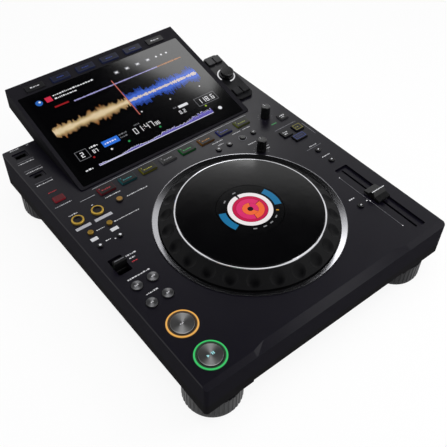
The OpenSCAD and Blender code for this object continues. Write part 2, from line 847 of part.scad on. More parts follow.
module browse_pod() {
    depth = pod_l * sin(screen_tilt) + pod_lift + 6;
    color([0.08, 0.08, 0.09]) difference() {
        pod_face(-depth, 0, 0, pod_corner);
        difference() {
            pod_face(-depth - 1, -face_t, pod_wall, pod_inner_corner);
            span([0, pod_y - 10, deck_z - 90], [body_w, pod_y + 4, deck_z + 60]);
        }
        on_pod() {
            translate([0, browse_up, 0]) {
                post(dish_r, -dish_depth, 1);
                post(shaft_r + 0.3, -face_t - 1, 1);
            }
            for (x = [-1, 1]) translate([x * pod_key_split / 2, pod_rear_keys, 0])
                key_hole(pod_key_w, pod_key_l, face_t + 1);
            for (x = [-1, 1]) translate([x * pod_key_split / 2, pod_front_keys, 0])
                key_hole(pod_key_w, pod_key_l, face_t + 1);
        }
        span([0, pod_y - 40, deck_z - 90], [body_w, pod_y + pod_l + 40, deck_z]);
    }
}

module browse_keys() {
    color([0.42, 0.42, 0.43]) on_pod() for (x = [-1, 1], y = [pod_front_keys, pod_rear_keys])
        translate([x * pod_key_split / 2, y, 0])
            square_key(pod_key_w, pod_key_l, pod_key_rise, face_t, face_t + flange_gap + flange_t,
                [pod_key_w - 3, pod_key_l + 2 * key_lip]);
}

module browse_shaft() {
    color(metal_color) on_pod() translate([0, browse_up, 0]) {
        post(shaft_r, -face_t - 3, browse_h - 4);
        post(shaft_r + 2, -face_t - 4, -face_t - 1);
    }
}

module browse_knob() {
    color([0.07, 0.07, 0.07]) on_pod() translate([0, browse_up, 0]) difference() {
        union() {
            rotate_extrude() polygon([[0, 1.4], [browse_r, 1.4], [browse_r, browse_h - 1.2],
                [browse_r - 1.2, browse_h], [0, browse_h]]);
        }
        post(shaft_r + knob_bore_fit, 0, browse_h - 3.6);
        for (i = [0:23]) rotate(i * 15)
            translate([browse_r + 0.35, 0, 0]) post(0.7, 1, browse_h + 1, $fn = 24);
    }
}

// ---- keys, buttons and knobs in the deck ---------------------------------

module hot_cue(i) {
    color(key_color) at(hot_cue_places[i], deck_z)
        deck_key([cue_key_w, cue_key_l], key_rise);
}

module sync_keys() {
    color(key_color) for (i = [0:2]) at(sync_places[i], deck_z)
        deck_key(sync_sizes[i], key_rise);
}

module master_key() {
    color(key_color) at(master_place, deck_z)
        deck_key(master_size, key_rise);
}

module side_key() {
    color([0.5, 0.08, 0.07]) at(side_key_place, deck_z)
        deck_key([side_key_w, side_key_l], key_rise - 0.6);
}

// Wide round button with a metal face inside a light ring
module big_button(place) {
    color(metal_color) at(place, deck_z) {
        translate([0, 0, -deck_t]) rotate_extrude() polygon([[0, -2.6], [play_r + 1, -2.6],
            [play_r + 1, -1.4], [play_r - 0.3, -1.4], [play_r - 0.3, deck_t + 0.7],
            [play_r - 1, deck_t + 1.4], [0, deck_t + 1.4]]);
        post(stem_r, -stem_len, -deck_t);
    }
}

module play_button() {
    big_button(play_place);
}

module cue_button() {
    big_button(cue_place);
}

module light_rings() {
    color([0.5, 0.85, 0.5]) for (p = [play_place, cue_place]) at(p) rotate_extrude()
        polygon([[play_r + 0.1, under_deck - 1], [play_r + light_w + 1.3, under_deck - 1],
            [play_r + light_w + 1.3, under_deck + 0.8], [play_r + light_w, under_deck + 0.8],
            [play_r + light_w, deck_z + 0.4], [play_r + light_w - 0.5, deck_z + 0.8],
            [play_r + 0.6, deck_z + 0.8], [play_r + 0.1, deck_z + 0.3]]);
}

module search_button(i) {
    color(metal_color) at(search_places[i], deck_z) round_key(search_r, 1.6, deck_t, stem_len);
}

// Loop button: a raised ring round a sunk middle
module loop_button(i) {
    color([0.75, 0.66, 0.35]) at(loop_places[i], deck_z) difference() {
        round_key(loop_r, key_rise, deck_t, stem_len);
        post(loop_r * 0.52, key_rise - 0.8, key_rise + 1);
    }
}

module loop_exit_button() {
    color([0.75, 0.66, 0.35]) at(exit_place, deck_z) round_key(exit_r, key_rise, deck_t, stem_len);
}

module small_buttons(list) {
    color(key_color) for (b = list) at(b[0], deck_z) round_key(b[1], key_rise, deck_t, stem_len);
}

module small_buttons_left() {
    small_buttons(small_left);
}

module small_buttons_right() {
    small_buttons(small_right);
}

// Tall fluted knob on a shaft through the deck, with a pointer groove
module tall_knob(place) {
    color([0.07, 0.07, 0.07]) at(place, deck_z) difference() {
        union() {
            rotate_extrude() polygon([[0, 0.4], [knob_r, 0.4], [knob_r, 3], [knob_r - 0.4, knob_h - 0.8],
                [knob_r - 1.2, knob_h], [0, knob_h]]);
            post(shaft_r, -shaft_deep, 1);
        }
        for (i = [0:11]) rotate(i * 30 + 15)
            translate([knob_r + 0.3, 0, 0]) post(0.8, 3, knob_h + 1, $fn = 24);
        span([-0.5, 1, knob_h - 0.6], [0.5, knob_r + 1, knob_h + 1]);
    }
}

module jog_adjust_knob() {
    tall_knob(knob_places[0]);
}

module touch_adjust_knob() {
    tall_knob(knob_places[1]);
}

// Lever of the direction switch: a paddle on a cross pin under the deck
module direction_lever() {
    color([0.06, 0.06, 0.07]) at(lever_place) {
        translate([0, 0, lever_z]) rotate([0, 90, 0])
            cylinder(r = lever_pin_r, h = lever_slot[0] + 4, center = true);
        translate([0, 0, lever_z]) rotate([0, 90, 0]) cylinder(r = 2.6, h = lever_w, center = true);
        translate([0, 0, lever_z]) linear_extrude(deck_z + lever_h - 3 - lever_z)
            square([lever_w, 3.4], center = true);
        rotate([90, 0, 90]) translate([0, 0, -lever_w / 2]) linear_extrude(lever_w)
            polygon([[-lever_t / 2, deck_z + 2.5], [lever_t / 2, deck_z + 2.5],
                [lever_t / 2 - 0.4, deck_z + lever_h - 1], [lever_t / 2 - 1.4, deck_z + lever_h],
                [-lever_t / 2 + 1.4, deck_z + lever_h], [-lever_t / 2 + 0.4, deck_z + lever_h - 1]]);
    }
}

// Cap of the pitch fader: two grip slopes that meet at a ridge, on a blade
module tempo_slider() {
    color([0.07, 0.07, 0.07]) translate([fader_x, cap_y, 0]) {
        rotate([90, 0, 90]) translate([0, 0, -cap_w / 2]) linear_extrude(cap_w)
            polygon([[-cap_l / 2, deck_z + 0.6], [cap_l / 2, deck_z + 0.6], [cap_l / 2, deck_z + 3],
                [4.5, deck_z + 4.2], [1.6, deck_z + cap_h], [-1.6, deck_z + cap_h],
                [-4.5, deck_z + 4.2], [-cap_l / 2, deck_z + 3]]);
        span([-blade_w / 2, -blade_l / 2, deck_z - blade_deep], [blade_w / 2, blade_l / 2, deck_z + 1]);
        block(fader_body_w - 2 * fader_skin - 1, carriage_l, 0.6,
            deck_z - blade_deep - carriage_h / 2, deck_z - blade_deep + carriage_h / 2);
    }
}

module fader_unit() {
    color(metal_color) at([fader_x, fader_y]) difference() {
        block(fader_body_w, fader_body_l, 1, fader_body_z - fader_body_h, fader_body_z);
        block(fader_body_w - 2 * fader_skin, fader_body_l - 2 * fader_skin, 0.6,
            fader_body_z - fader_body_h + fader_skin, fader_body_z - fader_skin);
        block(slot_w, fader_travel + blade_l + 4, slot_w / 2 - eps, fader_body_z - 4, fader_body_z + 1);
    }
}

// ---- electronics ---------------------------------------------------------

// Control board: a U round the well, with a switch under every key
module panel_board() {
    keys = concat(hot_cue_places, sync_places, loop_places, search_places,
        [master_place, side_key_place, exit_place, play_place, cue_place],
        [for (b = concat(small_left, small_right)) b[0]]);
    inner = ring_r + seat_fit + wall + board_gap;
    front = from_front(panel_board_front);
    color(board_color) difference() {
        translate([0, 0, board_z]) linear_extrude(board_t) difference() {
            translate([0, (front + screen_y + 10) / 2])
                square([body_w - 2 * (wall + panel_board_side), screen_y + 10 - front], center = true);
            translate([0, jog_y]) circle(inner);
            translate([0, front_y]) square([2 * inner * 0.86, 2 * jog_front], center = true);
            translate([fader_x, fader_y - 20])
                square([fader_body_w + 26, fader_body_l + 48], center = true);
            translate([-body_w / 2, from_front(lever_front)]) square([80, 26], center = true);
            for (p = pillar_places) translate(p) circle(pillar_r + board_gap);
        }
        for (p = knob_places) at(p) post(1, board_z - 1, board_z + 4);
    }
    color([0.15, 0.15, 0.15]) {
        for (p = keys) at(p, board_z + board_t + switch_h / 2)
            cube([switch_w, switch_w, switch_h], center = true);
        for (p = knob_places) at(p) post(encoder_r, board_z + board_t, deck_z - shaft_deep - 0.4);
    }
}

module main_board() {
    top = main_board_z + board_t;
    color(board_color) translate([-10, jog_y + 86, 0]) {
        block(main_board_w, main_board_l, 2, main_board_z, top);
        for (x = [-1, 1], y = [-1, 1])
            translate([x * (main_board_w / 2 - 7), y * (main_board_l / 2 - 6), 0])
                post(3, foot_h + wall, main_board_z + 0.5);
    }
    color([0.15, 0.15, 0.15]) translate([-10, jog_y + 86, 0]) {
        block(32, 32, 1, top, top + 2.4);
        for (x = [-50, 45]) translate([x, 12, 0]) block(18, 14, 0.6, top, top + 1.6);
    }
}

// Power supply in a vented can, with the switch behind the power button
module power_supply() {
    low = foot_h + wall + rib_h;
    color(metal_color) translate([inlet_x - 8, supply_y, 0]) difference() {
        block(supply_w, supply_l, 2, low, low + supply_h);
        block(supply_w - 3, supply_l - 3, 1, low + 1.5, low + supply_h - 1.5);
        for (i = [-5:5]) translate([i * 6, 0, 0])
            block(3, supply_l - 34, 1, low + supply_h - 10, low + supply_h + 1);
    }
    color([0.1, 0.1, 0.1]) on_back() translate([-power_x, 0, 0])
        block(13, 13, 0.5, -(panel_y - supply_y - supply_l / 2), -10.2);
    color(metal_color) on_back() translate([-power_x, -3, 0])
        block(20, 4, 0.5, -(panel_y - supply_y - supply_l / 2), -(panel_y - supply_y - supply_l / 2) + 2);
}

// ---- sockets -------------------------------------------------------------

// Sockets under the deck on a small board of their own, on two pillars
module media_sockets() {
    color(metal_color) {
        at(stick_place) difference() {
            block(14.2, 7, 0.6, socket_board_z + board_t, deck_z - 1.4);
            block(12.6, 5.2, 0.3, socket_board_z + board_t + 1, deck_z + 1);
        }
        at(stick_place) translate([0, -1.7, 0])
            block(11.4, 1.5, 0.2, socket_board_z + board_t + 0.5, deck_z - 9);
        at(mini_place) difference() {
            block(10.4, 5, 2, socket_board_z + board_t, deck_z - 1.4);
            block(9, 3.4, 1.6, socket_board_z + board_t + 3, deck_z + 1);
        }
        at(mini_place) block(6.6, 0.8, 0.2, socket_board_z + board_t + 2.5, deck_z - 3);
    }
    color(board_color) {
        at([loop_x, (stick_place[1] + mini_place[1]) / 2])
            block(20, stick_place[1] - mini_place[1] + 12, 1, socket_board_z, socket_board_z + board_t);
        for (s = [0.35, 0.65]) at(mini_place + s * (stick_place - mini_place))
            post(3, foot_h + wall, socket_board_z + eps);
    }
}

// Frame of the back panel: x to the left seen from behind, y up, z out of it
module on_back() {
    translate([0, panel_y, panel_z]) rotate([90, 0, 180]) children();
}

module rear_panel() {
    color([0.16, 0.16, 0.17]) difference() {
        union() {
            on_back() block(panel_w - 0.4, panel_h - 0.4, 1, -panel_t, 0);
            on_back() block(panel_w + 6, panel_h - 1, 1, -panel_back, -wall / 2 - 0.2);
        }
        on_back() {
            for (x = phono_x) translate([-x, 0, 0]) post(phono_r + 1.2, -panel_back - 1, 1);
            translate([-lan_x, 0, 0]) block(16.6, 14.6, 0.5, -panel_back - 1, 1);
            translate([-usb_x, 0, 0]) block(12.6, 11.6, 0.5, -panel_back - 1, 1);
            translate([-inlet_x, 0, 0]) block(28.4, 20.4, 3, -panel_back - 1, 1);
            translate([-power_x, 0, 0]) block(12.8, 12.8, 1.4, -panel_back - 1, 1);
        }
    }
}

// Signal sockets, all standing on one board
module rear_jacks() {
    color([0.8, 0.72, 0.45]) on_back() for (x = phono_x) translate([-x, 0, 0]) difference() {
        union() {
            post(phono_r, -jack_deep, stud_len - 1);
            post(phono_r + 1, -jack_deep, 0.8);
            translate([0, -1, 0]) block(13, 12, 0.6, -jack_deep, -panel_back - 0.2);
        }
        difference() {
            post(phono_r - 0.9, 0, stud_len);
            post(2.7, -1, stud_len - 2.5);
        }
        post(1.7, 3, stud_len);
    }
    color(metal_color) on_back() {
        translate([-lan_x, 0, 0]) difference() {
            block(16, 14, 0.5, -jack_deep, 0.6);
            translate([0, -1, 0]) block(12.2, 8, 0.3, -jack_deep + 3, 2);
            translate([0, 4, 0]) block(6, 5, 0.3, -jack_deep + 3, 2);
        }
        translate([-usb_x, 0, 0]) difference() {
            union() {
                block(12, 11, 0.5, -jack_deep, 0.6);
                translate([0, -1, 0]) block(12, 12, 0.5, -jack_deep, -panel_back - 0.2);
            }
            difference() {
                block(8.6, 7.8, 0.8, -jack_deep + 3, 2);
                block(5.4, 3, 0.3, -jack_deep + 2, -5);
            }
        }
    }
    color(board_color) {
        span([min(phono_x) - 10, panel_y - jack_deep, jack_board_z - board_t],
            [usb_x + 10, panel_y - panel_back - 0.3, jack_board_z]);
        for (x = [min(phono_x), usb_x]) at([x, panel_y - jack_deep + 5])
            post(3, foot_h + wall, jack_board_z - board_t + eps);
    }
}

// Mains inlet: its flange sits on the face of the back panel
module power_inlet() {
    color([0.06, 0.06, 0.07]) on_back() translate([-inlet_x, 0, 0]) difference() {
        union() {
            block(27.8, 19.8, 3, -20, 0.5);
            block(32, 22.6, 4, 0, 1.2);
        }
        block(23.6, 15.8, 3.5, -16, 2);
    }
    color(metal_color) on_back() translate([-inlet_x, 0, 0]) {
        for (x = [-7, 7]) translate([x, -2, 0]) block(2, 4, 0.4, -22, -6);
        translate([0, 2.5, 0]) block(2, 4, 0.4, -22, -6);
    }
}

module power_button() {
    color([0.1, 0.1, 0.1]) on_back() translate([-power_x, 0, 0]) {
        block(12, 12, 1, -8, 2.6);
        block(14.4, 14.4, 1, -8, -5.2);
    }
}

bottom_case();
top_case();
feet();
jog_well_ring();
jog_spindle();
jog_display();
screen_bezel();
screen_back_cover();
screen_glass();
lcd_module();
browse_pod();
media_sockets();
rear_panel();
rear_jacks();
power_inlet();
main_board();
power_supply();
panel_board();
fader_unit();
light_rings();
case_screws();
jog_platter();
jog_top_plate();
jog_trim_ring();
tempo_slider();
play_button();
cue_button();
search_button(0);  // track_search_back
search_button(1);  // track_search_next
search_button(2);  // search_back
search_button(3);  // search_forward
loop_button(0);  // loop_in_button
loop_button(1);  // loop_out_button
loop_exit_button();
small_buttons_left();
small_buttons_right();
hot_cue(0);  // hot_cue_1
hot_cue(1);  // hot_cue_2
hot_cue(2);  // hot_cue_3
hot_cue(3);  // hot_cue_4
hot_cue(4);  // hot_cue_5
hot_cue(5);  // hot_cue_6
hot_cue(6);  // hot_cue_7
hot_cue(7);  // hot_cue_8
screen_key(0);  // screen_key_1
screen_key(1);  // screen_key_2
screen_key(2);  // screen_key_3
screen_key(3);  // screen_key_4
screen_key(4);  // screen_key_5
screen_key(5);  // screen_key_6
browse_keys();
browse_shaft();
browse_knob();
jog_adjust_knob();
touch_adjust_knob();
direction_lever();
sync_keys();
master_key();
side_key();
power_button();
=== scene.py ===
"""Looks of a tabletop media player for disc jockeys.

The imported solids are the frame. This script gives each of them its finish,
adds the lit pictures, printed marks and glowing rings, and sets up the studio.
Lengths are written in millimetres and turned into metres where a mesh, a lamp
or a shader takes them. Colours are written as six hexadecimal digits.
"""

from __future__ import annotations

import json
import logging
import math
from dataclasses import dataclass
from enum import Enum

import bpy
import numpy as np
from mathutils import Matrix, Vector

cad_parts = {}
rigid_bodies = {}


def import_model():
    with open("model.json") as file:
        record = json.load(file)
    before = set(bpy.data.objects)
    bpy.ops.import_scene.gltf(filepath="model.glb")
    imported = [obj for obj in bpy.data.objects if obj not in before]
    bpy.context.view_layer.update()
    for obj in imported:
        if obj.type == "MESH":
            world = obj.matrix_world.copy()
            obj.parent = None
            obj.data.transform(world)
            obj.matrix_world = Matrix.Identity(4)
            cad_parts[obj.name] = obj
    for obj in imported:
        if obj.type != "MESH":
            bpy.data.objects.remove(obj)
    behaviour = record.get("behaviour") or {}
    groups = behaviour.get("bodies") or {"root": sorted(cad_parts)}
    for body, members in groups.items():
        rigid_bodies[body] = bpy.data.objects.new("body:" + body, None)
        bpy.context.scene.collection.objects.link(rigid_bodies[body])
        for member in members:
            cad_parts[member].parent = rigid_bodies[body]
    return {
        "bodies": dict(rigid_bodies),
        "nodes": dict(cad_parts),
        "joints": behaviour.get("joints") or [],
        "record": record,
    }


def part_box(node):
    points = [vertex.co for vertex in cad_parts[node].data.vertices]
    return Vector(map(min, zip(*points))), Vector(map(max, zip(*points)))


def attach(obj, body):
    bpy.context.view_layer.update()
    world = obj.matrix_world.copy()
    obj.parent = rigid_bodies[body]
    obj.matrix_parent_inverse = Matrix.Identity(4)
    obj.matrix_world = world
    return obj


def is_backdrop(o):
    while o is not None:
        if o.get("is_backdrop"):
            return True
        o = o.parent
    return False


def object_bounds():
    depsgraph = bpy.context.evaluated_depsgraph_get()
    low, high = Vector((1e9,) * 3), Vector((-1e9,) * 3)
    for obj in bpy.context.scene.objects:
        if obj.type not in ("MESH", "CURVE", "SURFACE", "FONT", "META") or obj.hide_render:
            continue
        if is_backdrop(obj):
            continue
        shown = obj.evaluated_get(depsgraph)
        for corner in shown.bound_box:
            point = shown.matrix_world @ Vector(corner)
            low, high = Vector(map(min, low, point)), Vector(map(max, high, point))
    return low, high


Pair = tuple[float, float]
Triple = tuple[float, float, float]
Row = tuple[float, ...]
Side = np.ndarray | float
Socket = bpy.types.NodeSocket
Material = bpy.types.Material

log = logging.getLogger("media_player")
MM = 0.001
FRAME: dict = {}
FIXED = "console"
BLACK: Triple = (0.0, 0.0, 0.0)
JOG_AXIS: Pair = (0.0, -90.507)
# Tilt of the display's face in degrees, and how far up the face the waveforms' axis lies.
FACE_TILT = 13.0
WAVE_S = 87.0
# How much higher a mark stands that lies on another one.
ABOVE = 0.02


def linear(code: str) -> Triple:
    """Turns a six-digit display colour into linear light.

    Args:
        code: Red, green and blue as six hexadecimal digits.

    Returns:
        The three linear values, 0 to 1.
    """
    parts = np.array([int(code[i : i + 2], 16) for i in (0, 2, 4)]) / 255
    light = np.where(parts <= 0.04045, parts / 12.92, ((parts + 0.055) / 1.055) ** 2.4)
    return tuple(float(v) for v in light)


def scaled(colour: Triple, share: float) -> Triple:
    """Returns a colour that gives a share of another's light."""
    return tuple(v * share for v in colour)


def set_range(node: bpy.types.Node, *limits: float) -> None:
    """Sets the start and end of a Map Range node's input, then of its output."""
    for name, number in zip(("From Min", "From Max", "To Min", "To Max"), limits):
        node.inputs[name].default_value = number


def seen_rays(nodes: bpy.types.Nodes, links: bpy.types.NodeLinks) -> Socket:
    """Returns 1 for rays from the camera, off gloss or through glass, and 0 for all others."""
    path = nodes.new("ShaderNodeLightPath")
    seen = path.outputs["Is Camera Ray"]
    for kind in ("Is Glossy Ray", "Is Transmission Ray"):
        either = nodes.new("ShaderNodeMath")
        either.operation = "MAXIMUM"
        links.new(seen, either.inputs[0])
        links.new(path.outputs[kind], either.inputs[1])
        seen = either.outputs[0]
    return seen


class Graph:
    """A material's nodes, with a Principled shader that is already wired."""

    # Places of the share, the two colours and the result on a Mix node for colours.
    SHARE, FIRST, SECOND, MIXED = 0, 6, 7, 2
    # Half the width of a soft edge, in millimetres.
    SOFT = 0.2

    def __init__(self, name: str) -> None:
        """Makes the material and clears its default nodes."""
        self.material = bpy.data.materials.new(name)
        self.material.use_nodes = True
        self.nodes = self.material.node_tree.nodes
        self.links = self.material.node_tree.links
        self.nodes.clear()
        self.output = self.nodes.new("ShaderNodeOutputMaterial")
        self.shader = self.nodes.new("ShaderNodeBsdfPrincipled")
        self.feed(self.shader.outputs["BSDF"], self.output.inputs["Surface"])

    def feed(self, term: Socket | float | tuple, target: Socket) -> None:
        """Links a socket to another, or sets a plain value on it."""
        if isinstance(term, Socket):
            self.links.new(term, target)
        else:
            target.default_value = term

    def give(self, **terms: Socket | float | tuple) -> None:
        """Feeds sockets of the Principled shader, named with _ for each space."""
        for name, term in terms.items():
            self.feed(term, self.shader.inputs[name.replace("_", " ")])

    def position(self) -> Socket:
        """Returns the place on the piece, in metres."""
        return self.nodes.new("ShaderNodeTexCoord").outputs["Object"]

    def local(self, centre: Triple, half: Triple = (1.0, 1.0, 1.0), tilt: float = 0.0) -> Socket:
        """Returns the place counted from a centre, in halves of a size.

        Args:
            centre: The centre, in millimetres.
            half: What counts as 1 along each axis, in millimetres.
            tilt: Turn about X of the field that is measured, in degrees.
        """
        node = self.nodes.new("ShaderNodeMapping")
        node.vector_type = "TEXTURE"
        node.inputs["Location"].default_value = [v * MM for v in centre]
        node.inputs["Rotation"].default_value = (math.radians(tilt), 0, 0)
        node.inputs["Scale"].default_value = [v * MM for v in half]
        self.feed(self.position(), node.inputs["Vector"])
        return node.outputs["Vector"]

    def axes(self, vector: Socket) -> list[Socket]:
        """Returns the X, Y and Z of a vector."""
        node = self.nodes.new("ShaderNodeSeparateXYZ")
        self.feed(vector, node.inputs["Vector"])
        return [node.outputs[i] for i in range(3)]

    def reckon(self, operation: str, *terms: Socket | float, kind: str = "Math") -> Socket:
        """Returns the result of a Math node.

        Args:
            operation: The node's operation.
            terms: Sockets or plain values, in the node's order.
            kind: Math for numbers, or VectorMath for vectors.
        """
        node = self.nodes.new(f"ShaderNode{kind}")
        node.operation = operation
        for i, term in enumerate(terms):
            self.feed(term, node.inputs[i])
        return node.outputs[0]

    def times(self, first: Socket, second: Socket | float) -> Socket:
        """Returns a product."""
        return self.reckon("MULTIPLY", first, second)

    def radius(self, x: Socket, y: Socket) -> Socket:
        """Returns the distance from an upright axis: the root of x squared and y squared."""
        return self.reckon("SQRT", self.reckon("ADD", self.times(x, x), self.times(y, y)))

    def step(
        self, value: Socket, start: float, end: float, low: float = 0.0, high: float = 1.0
    ) -> Socket:
        """Returns low before start, high after end and a ramp between them."""
        node = self.nodes.new("ShaderNodeMapRange")
        set_range(node, start, end, low, high)
        self.feed(value, node.inputs["Value"])
        return node.outputs["Result"]

    def within(self, value: Socket, limit: float) -> Socket:
        """Returns 1 below a limit and 0 above it, with a soft edge."""
        return self.step(value, limit - self.SOFT, limit + self.SOFT, 1.0, 0.0)

    def speckle(self, size: float, detail: float = 3.0) -> Socket:
        """Returns noise of a size in millimetres, from 0 to 1."""
        node = self.nodes.new("ShaderNodeTexNoise")
        node.inputs["Scale"].default_value = 1 / (size * MM)
        node.inputs["Detail"].default_value = detail
        self.feed(self.position(), node.inputs["Vector"])
        return node.outputs[0]

    def shade(self, share: Socket, first: Socket | Triple, second: Socket | Triple) -> Socket:
        """Returns the colour that lies between two colours at a share."""
        node = self.nodes.new("ShaderNodeMix")
        node.data_type = "RGBA"
        self.feed(share, node.inputs[self.SHARE])
        for place, colour in ((self.FIRST, first), (self.SECOND, second)):
            plain = isinstance(colour, tuple)
            self.feed((*colour, 1) if plain else colour, node.inputs[place])
        return node.outputs[self.MIXED]

    def mottled(self, colour: Triple, size: float, least: float) -> Socket:
        """Returns a colour that falls to a least share of its light in specks of a size."""
        return self.shade(self.speckle(size), scaled(colour, least), colour)

    def relief(self, height: Socket, strength: float, depth: float) -> None:
        """Adds a bump to the shader.

        Args:
            height: The height, 0 to 1.
            strength: How much of the bump shows.
            depth: What a height of 1 stands for, in millimetres.
        """
        node = self.nodes.new("ShaderNodeBump")
        node.inputs["Strength"].default_value = strength
        node.inputs["Distance"].default_value = depth * MM
        self.feed(height, node.inputs["Height"])
        self.give(Normal=node.outputs["Normal"])


@dataclass(frozen=True)
class Plane:
    """A flat field that marks lie on, with its origin in millimetres."""

    origin: Triple
    tilt: float = 0.0
    turn: float = 0.0

    def lay(self, points: np.ndarray) -> np.ndarray:
        """Turns points of the field (across, up, out of it) into frame metres.

        Args:
            points: One row of three numbers for each point, in millimetres.

        Returns:
            The points turned about X by the tilt, then about Z by the turn, and moved.
        """
        tilt = Matrix.Rotation(math.radians(self.tilt), 3, "X")
        turn = Matrix.Rotation(math.radians(self.turn), 3, "Z") @ tilt
        return (points @ np.array(turn).T + np.array(self.origin)) * MM

    def place(self, x: float, y: float, z: float = 0.0) -> Triple:
        """Returns where a point of the field is in the frame, in millimetres."""
        return tuple(float(v) for v in self.lay(np.array([[x, y, z]]))[0] / MM)


DISPLAY_FACE = Plane((0.0, 55.993, 78.0), FACE_TILT)


@dataclass(frozen=True)
class Moulded:
    """Moulded plastic, lacquer or plated metal with a fine grain and a little mottling."""

    name: str
    colour: str
    roughness: float = 0.5
    specular: float = 0.3
    grain: float = 0.35
    relief: float = 0.25
    mottling: float = 0.18
    coat: float = 0.0
    metallic: float = 0.0
    side: float = 0.0
    coat_roughness: float = 0.34
    mottle_size: float = 9.0
    gloss_size: float = 14.0
    upward: Pair = (0.3, 0.7)

    def material(self) -> Material:
        """Returns the finish: noise varies colour, gloss and height.

        A coat lies on what faces up, and sides may be rougher than that.
        """
        g = Graph(self.name)
        base, uneven = linear(self.colour), self.mottling
        patches = g.speckle(self.mottle_size, 4.0)
        g.give(Base_Color=g.shade(patches, scaled(base, 1 - uneven), scaled(base, 1 + uneven)))
        dullest = min(self.roughness * 1.12, 1.0)
        spread = g.step(g.speckle(self.gloss_size), 0.3, 0.7, self.roughness * 0.9, dullest)
        if self.side:
            up = g.axes(g.nodes.new("ShaderNodeNewGeometry").outputs["True Normal"])[2]
            spread = g.reckon("MAXIMUM", spread, g.step(up, *self.upward, self.side, 0.0))
            if self.coat:
                g.give(Coat_Weight=g.step(up, *self.upward, 0.0, self.coat))
        g.relief(g.speckle(self.grain, 2.0), self.relief, self.grain * 0.25)
        g.give(Roughness=spread, Metallic=self.metallic)
        g.give(Specular_IOR_Level=self.specular, Coat_Roughness=self.coat_roughness)
        return g.material


@dataclass(frozen=True)
class Dimpled:
    """Rubbery plastic of a conical skirt, with painted shade where finger dimples sink below the
    cone.
    """

    name: str
    colour: str
    # Colour of the painted shade in the dimples.
    painted_dimple_shade: str
    centre: Pair
    low: Pair
    high: Pair
    # Depths below the cone over which the painted shade deepens, in millimetres.
    depths: Pair = (0.1, 1.6)
    roughness: float = 0.5
    specular: float = 0.12

    def material(self) -> Material:
        """Returns the finish, with painted shade that darkens it between two depths below the cone.

        The depth is counted square to the line from low to high, both (radius, z).
        """
        g = Graph(self.name)
        x, y, z = g.axes(g.local((*self.centre, 0.0)))
        run, rise = self.low[0] - self.high[0], self.high[1] - self.low[1]
        length = math.hypot(run, rise)
        along = g.times(g.reckon("SUBTRACT", self.low[0], g.radius(x, y)), rise / length)
        up = g.times(g.reckon("SUBTRACT", self.low[1], z), run / length)
        # Painted shade: the deeper a point lies below the cone, the darker it is painted.
        share = g.step(g.reckon("ADD", along, up), *self.depths)
        skirt = g.mottled(linear(self.colour), 6.0, 0.85)
        g.give(Base_Color=g.shade(share, skirt, linear(self.painted_dimple_shade)))
        g.relief(g.speckle(0.5, 2.0), 0.08, 0.12)
        g.give(Roughness=self.roughness, Specular_IOR_Level=self.specular)
        return g.material


@dataclass(frozen=True)
class Turned:
    """Metal with fine tool marks that run round an upright axis, black past its rim."""

    name: str
    colour: str
    centre: Pair
    roughness: float = 0.28
    pitch: float = 0.45
    spread: float = 0.75
    relief: float = 0.2
    rim: float = 0.0
    streaks: float = 0.18
    across: bool = False
    # Heading in degrees of a painted highlight wedge, how sharply it narrows and the share of tone
    # it leaves off the wedge.
    painted_highlight_heading: float | None = None
    painted_highlight_power: float = 5.0
    painted_highlight_least: float = 0.2
    past_rim: str = "08080a"

    def material(self) -> Material:
        """Returns the finish: gloss is drawn out along the circles round the axis, or across them.

        With a painted highlight heading, a painted highlight is laid on the tone: it is brightest
        along that heading in degrees and falls with the cosine of the turn from it.
        """
        g = Graph(self.name)
        axis = (self.centre[0] * MM, self.centre[1] * MM, 0)
        out = g.reckon("SUBTRACT", g.position(), axis, kind="VectorMath")
        round_axis = g.reckon("CROSS_PRODUCT", (0, 0, 1), out, kind="VectorMath")
        x, y, _ = g.axes(out)
        radius = g.radius(x, y)
        grooves = g.reckon("SINE", g.times(radius, 2 * math.pi / (self.pitch * MM)))
        g.relief(g.reckon("MULTIPLY_ADD", grooves, 0.5, 0.5), self.relief, self.pitch * 0.06)
        base = linear(self.colour)
        streak = g.times(g.speckle(1.4), g.step(grooves, -1, 1, 0.7, 1.0))
        face = g.shade(streak, scaled(base, 1 - self.streaks), base)
        g.give(Metallic=1.0, Roughness=self.roughness, Anisotropic=self.spread)
        g.give(Tangent=out if self.across else round_axis)
        # Painted highlight: a bright wedge along the heading, darker across it.
        if self.painted_highlight_heading is not None:
            turn = math.radians(self.painted_highlight_heading)
            along = g.reckon("ADD", g.times(x, math.cos(turn)), g.times(y, math.sin(turn)))
            cosine = g.reckon("ABSOLUTE", g.reckon("DIVIDE", along, radius))
            share = g.reckon("POWER", cosine, self.painted_highlight_power)
            face = g.shade(share, scaled(base, self.painted_highlight_least), face)
        if self.rim:
            past = g.step(radius, (self.rim - 0.1) * MM, (self.rim + 0.1) * MM)
            face = g.shade(past, face, linear(self.past_rim))
            g.give(Metallic=g.step(past, 0.0, 1.0, 1.0, 0.0))
        g.give(Base_Color=face)
        return g.material


@dataclass(frozen=True)
class RimLit:
    """Dark key cap whose rim is lit in a colour."""

    name: str
    cap: str
    rim: str
    centre: Triple
    half: Pair
    start: float
    glow: float
    inside: float
    tilt: float = 0.0

    def material(self) -> Material:
        """Returns the finish: light grows with the larger of |x| and |y| from the centre."""
        g = Graph(self.name)
        x, y, _ = g.axes(g.local(self.centre, (*self.half, 1.0), self.tilt))
        edge = g.reckon("MAXIMUM", g.reckon("ABSOLUTE", x), g.reckon("ABSOLUTE", y))
        share = g.step(edge, self.start, min(self.start + 0.14, 0.98), self.inside, 1.0)
        share = g.times(share, g.step(g.speckle(1.1), 0.2, 0.8, 0.82, 1.0))
        g.give(Emission_Color=g.shade(share, BLACK, linear(self.rim)))
        g.give(Base_Color=g.mottled(linear(self.cap), 5.0, 0.85))
        g.relief(g.speckle(0.3, 2.0), 0.15, 0.06)
        g.give(Roughness=0.42, Specular_IOR_Level=0.35, Emission_Strength=self.glow)
        return g.material


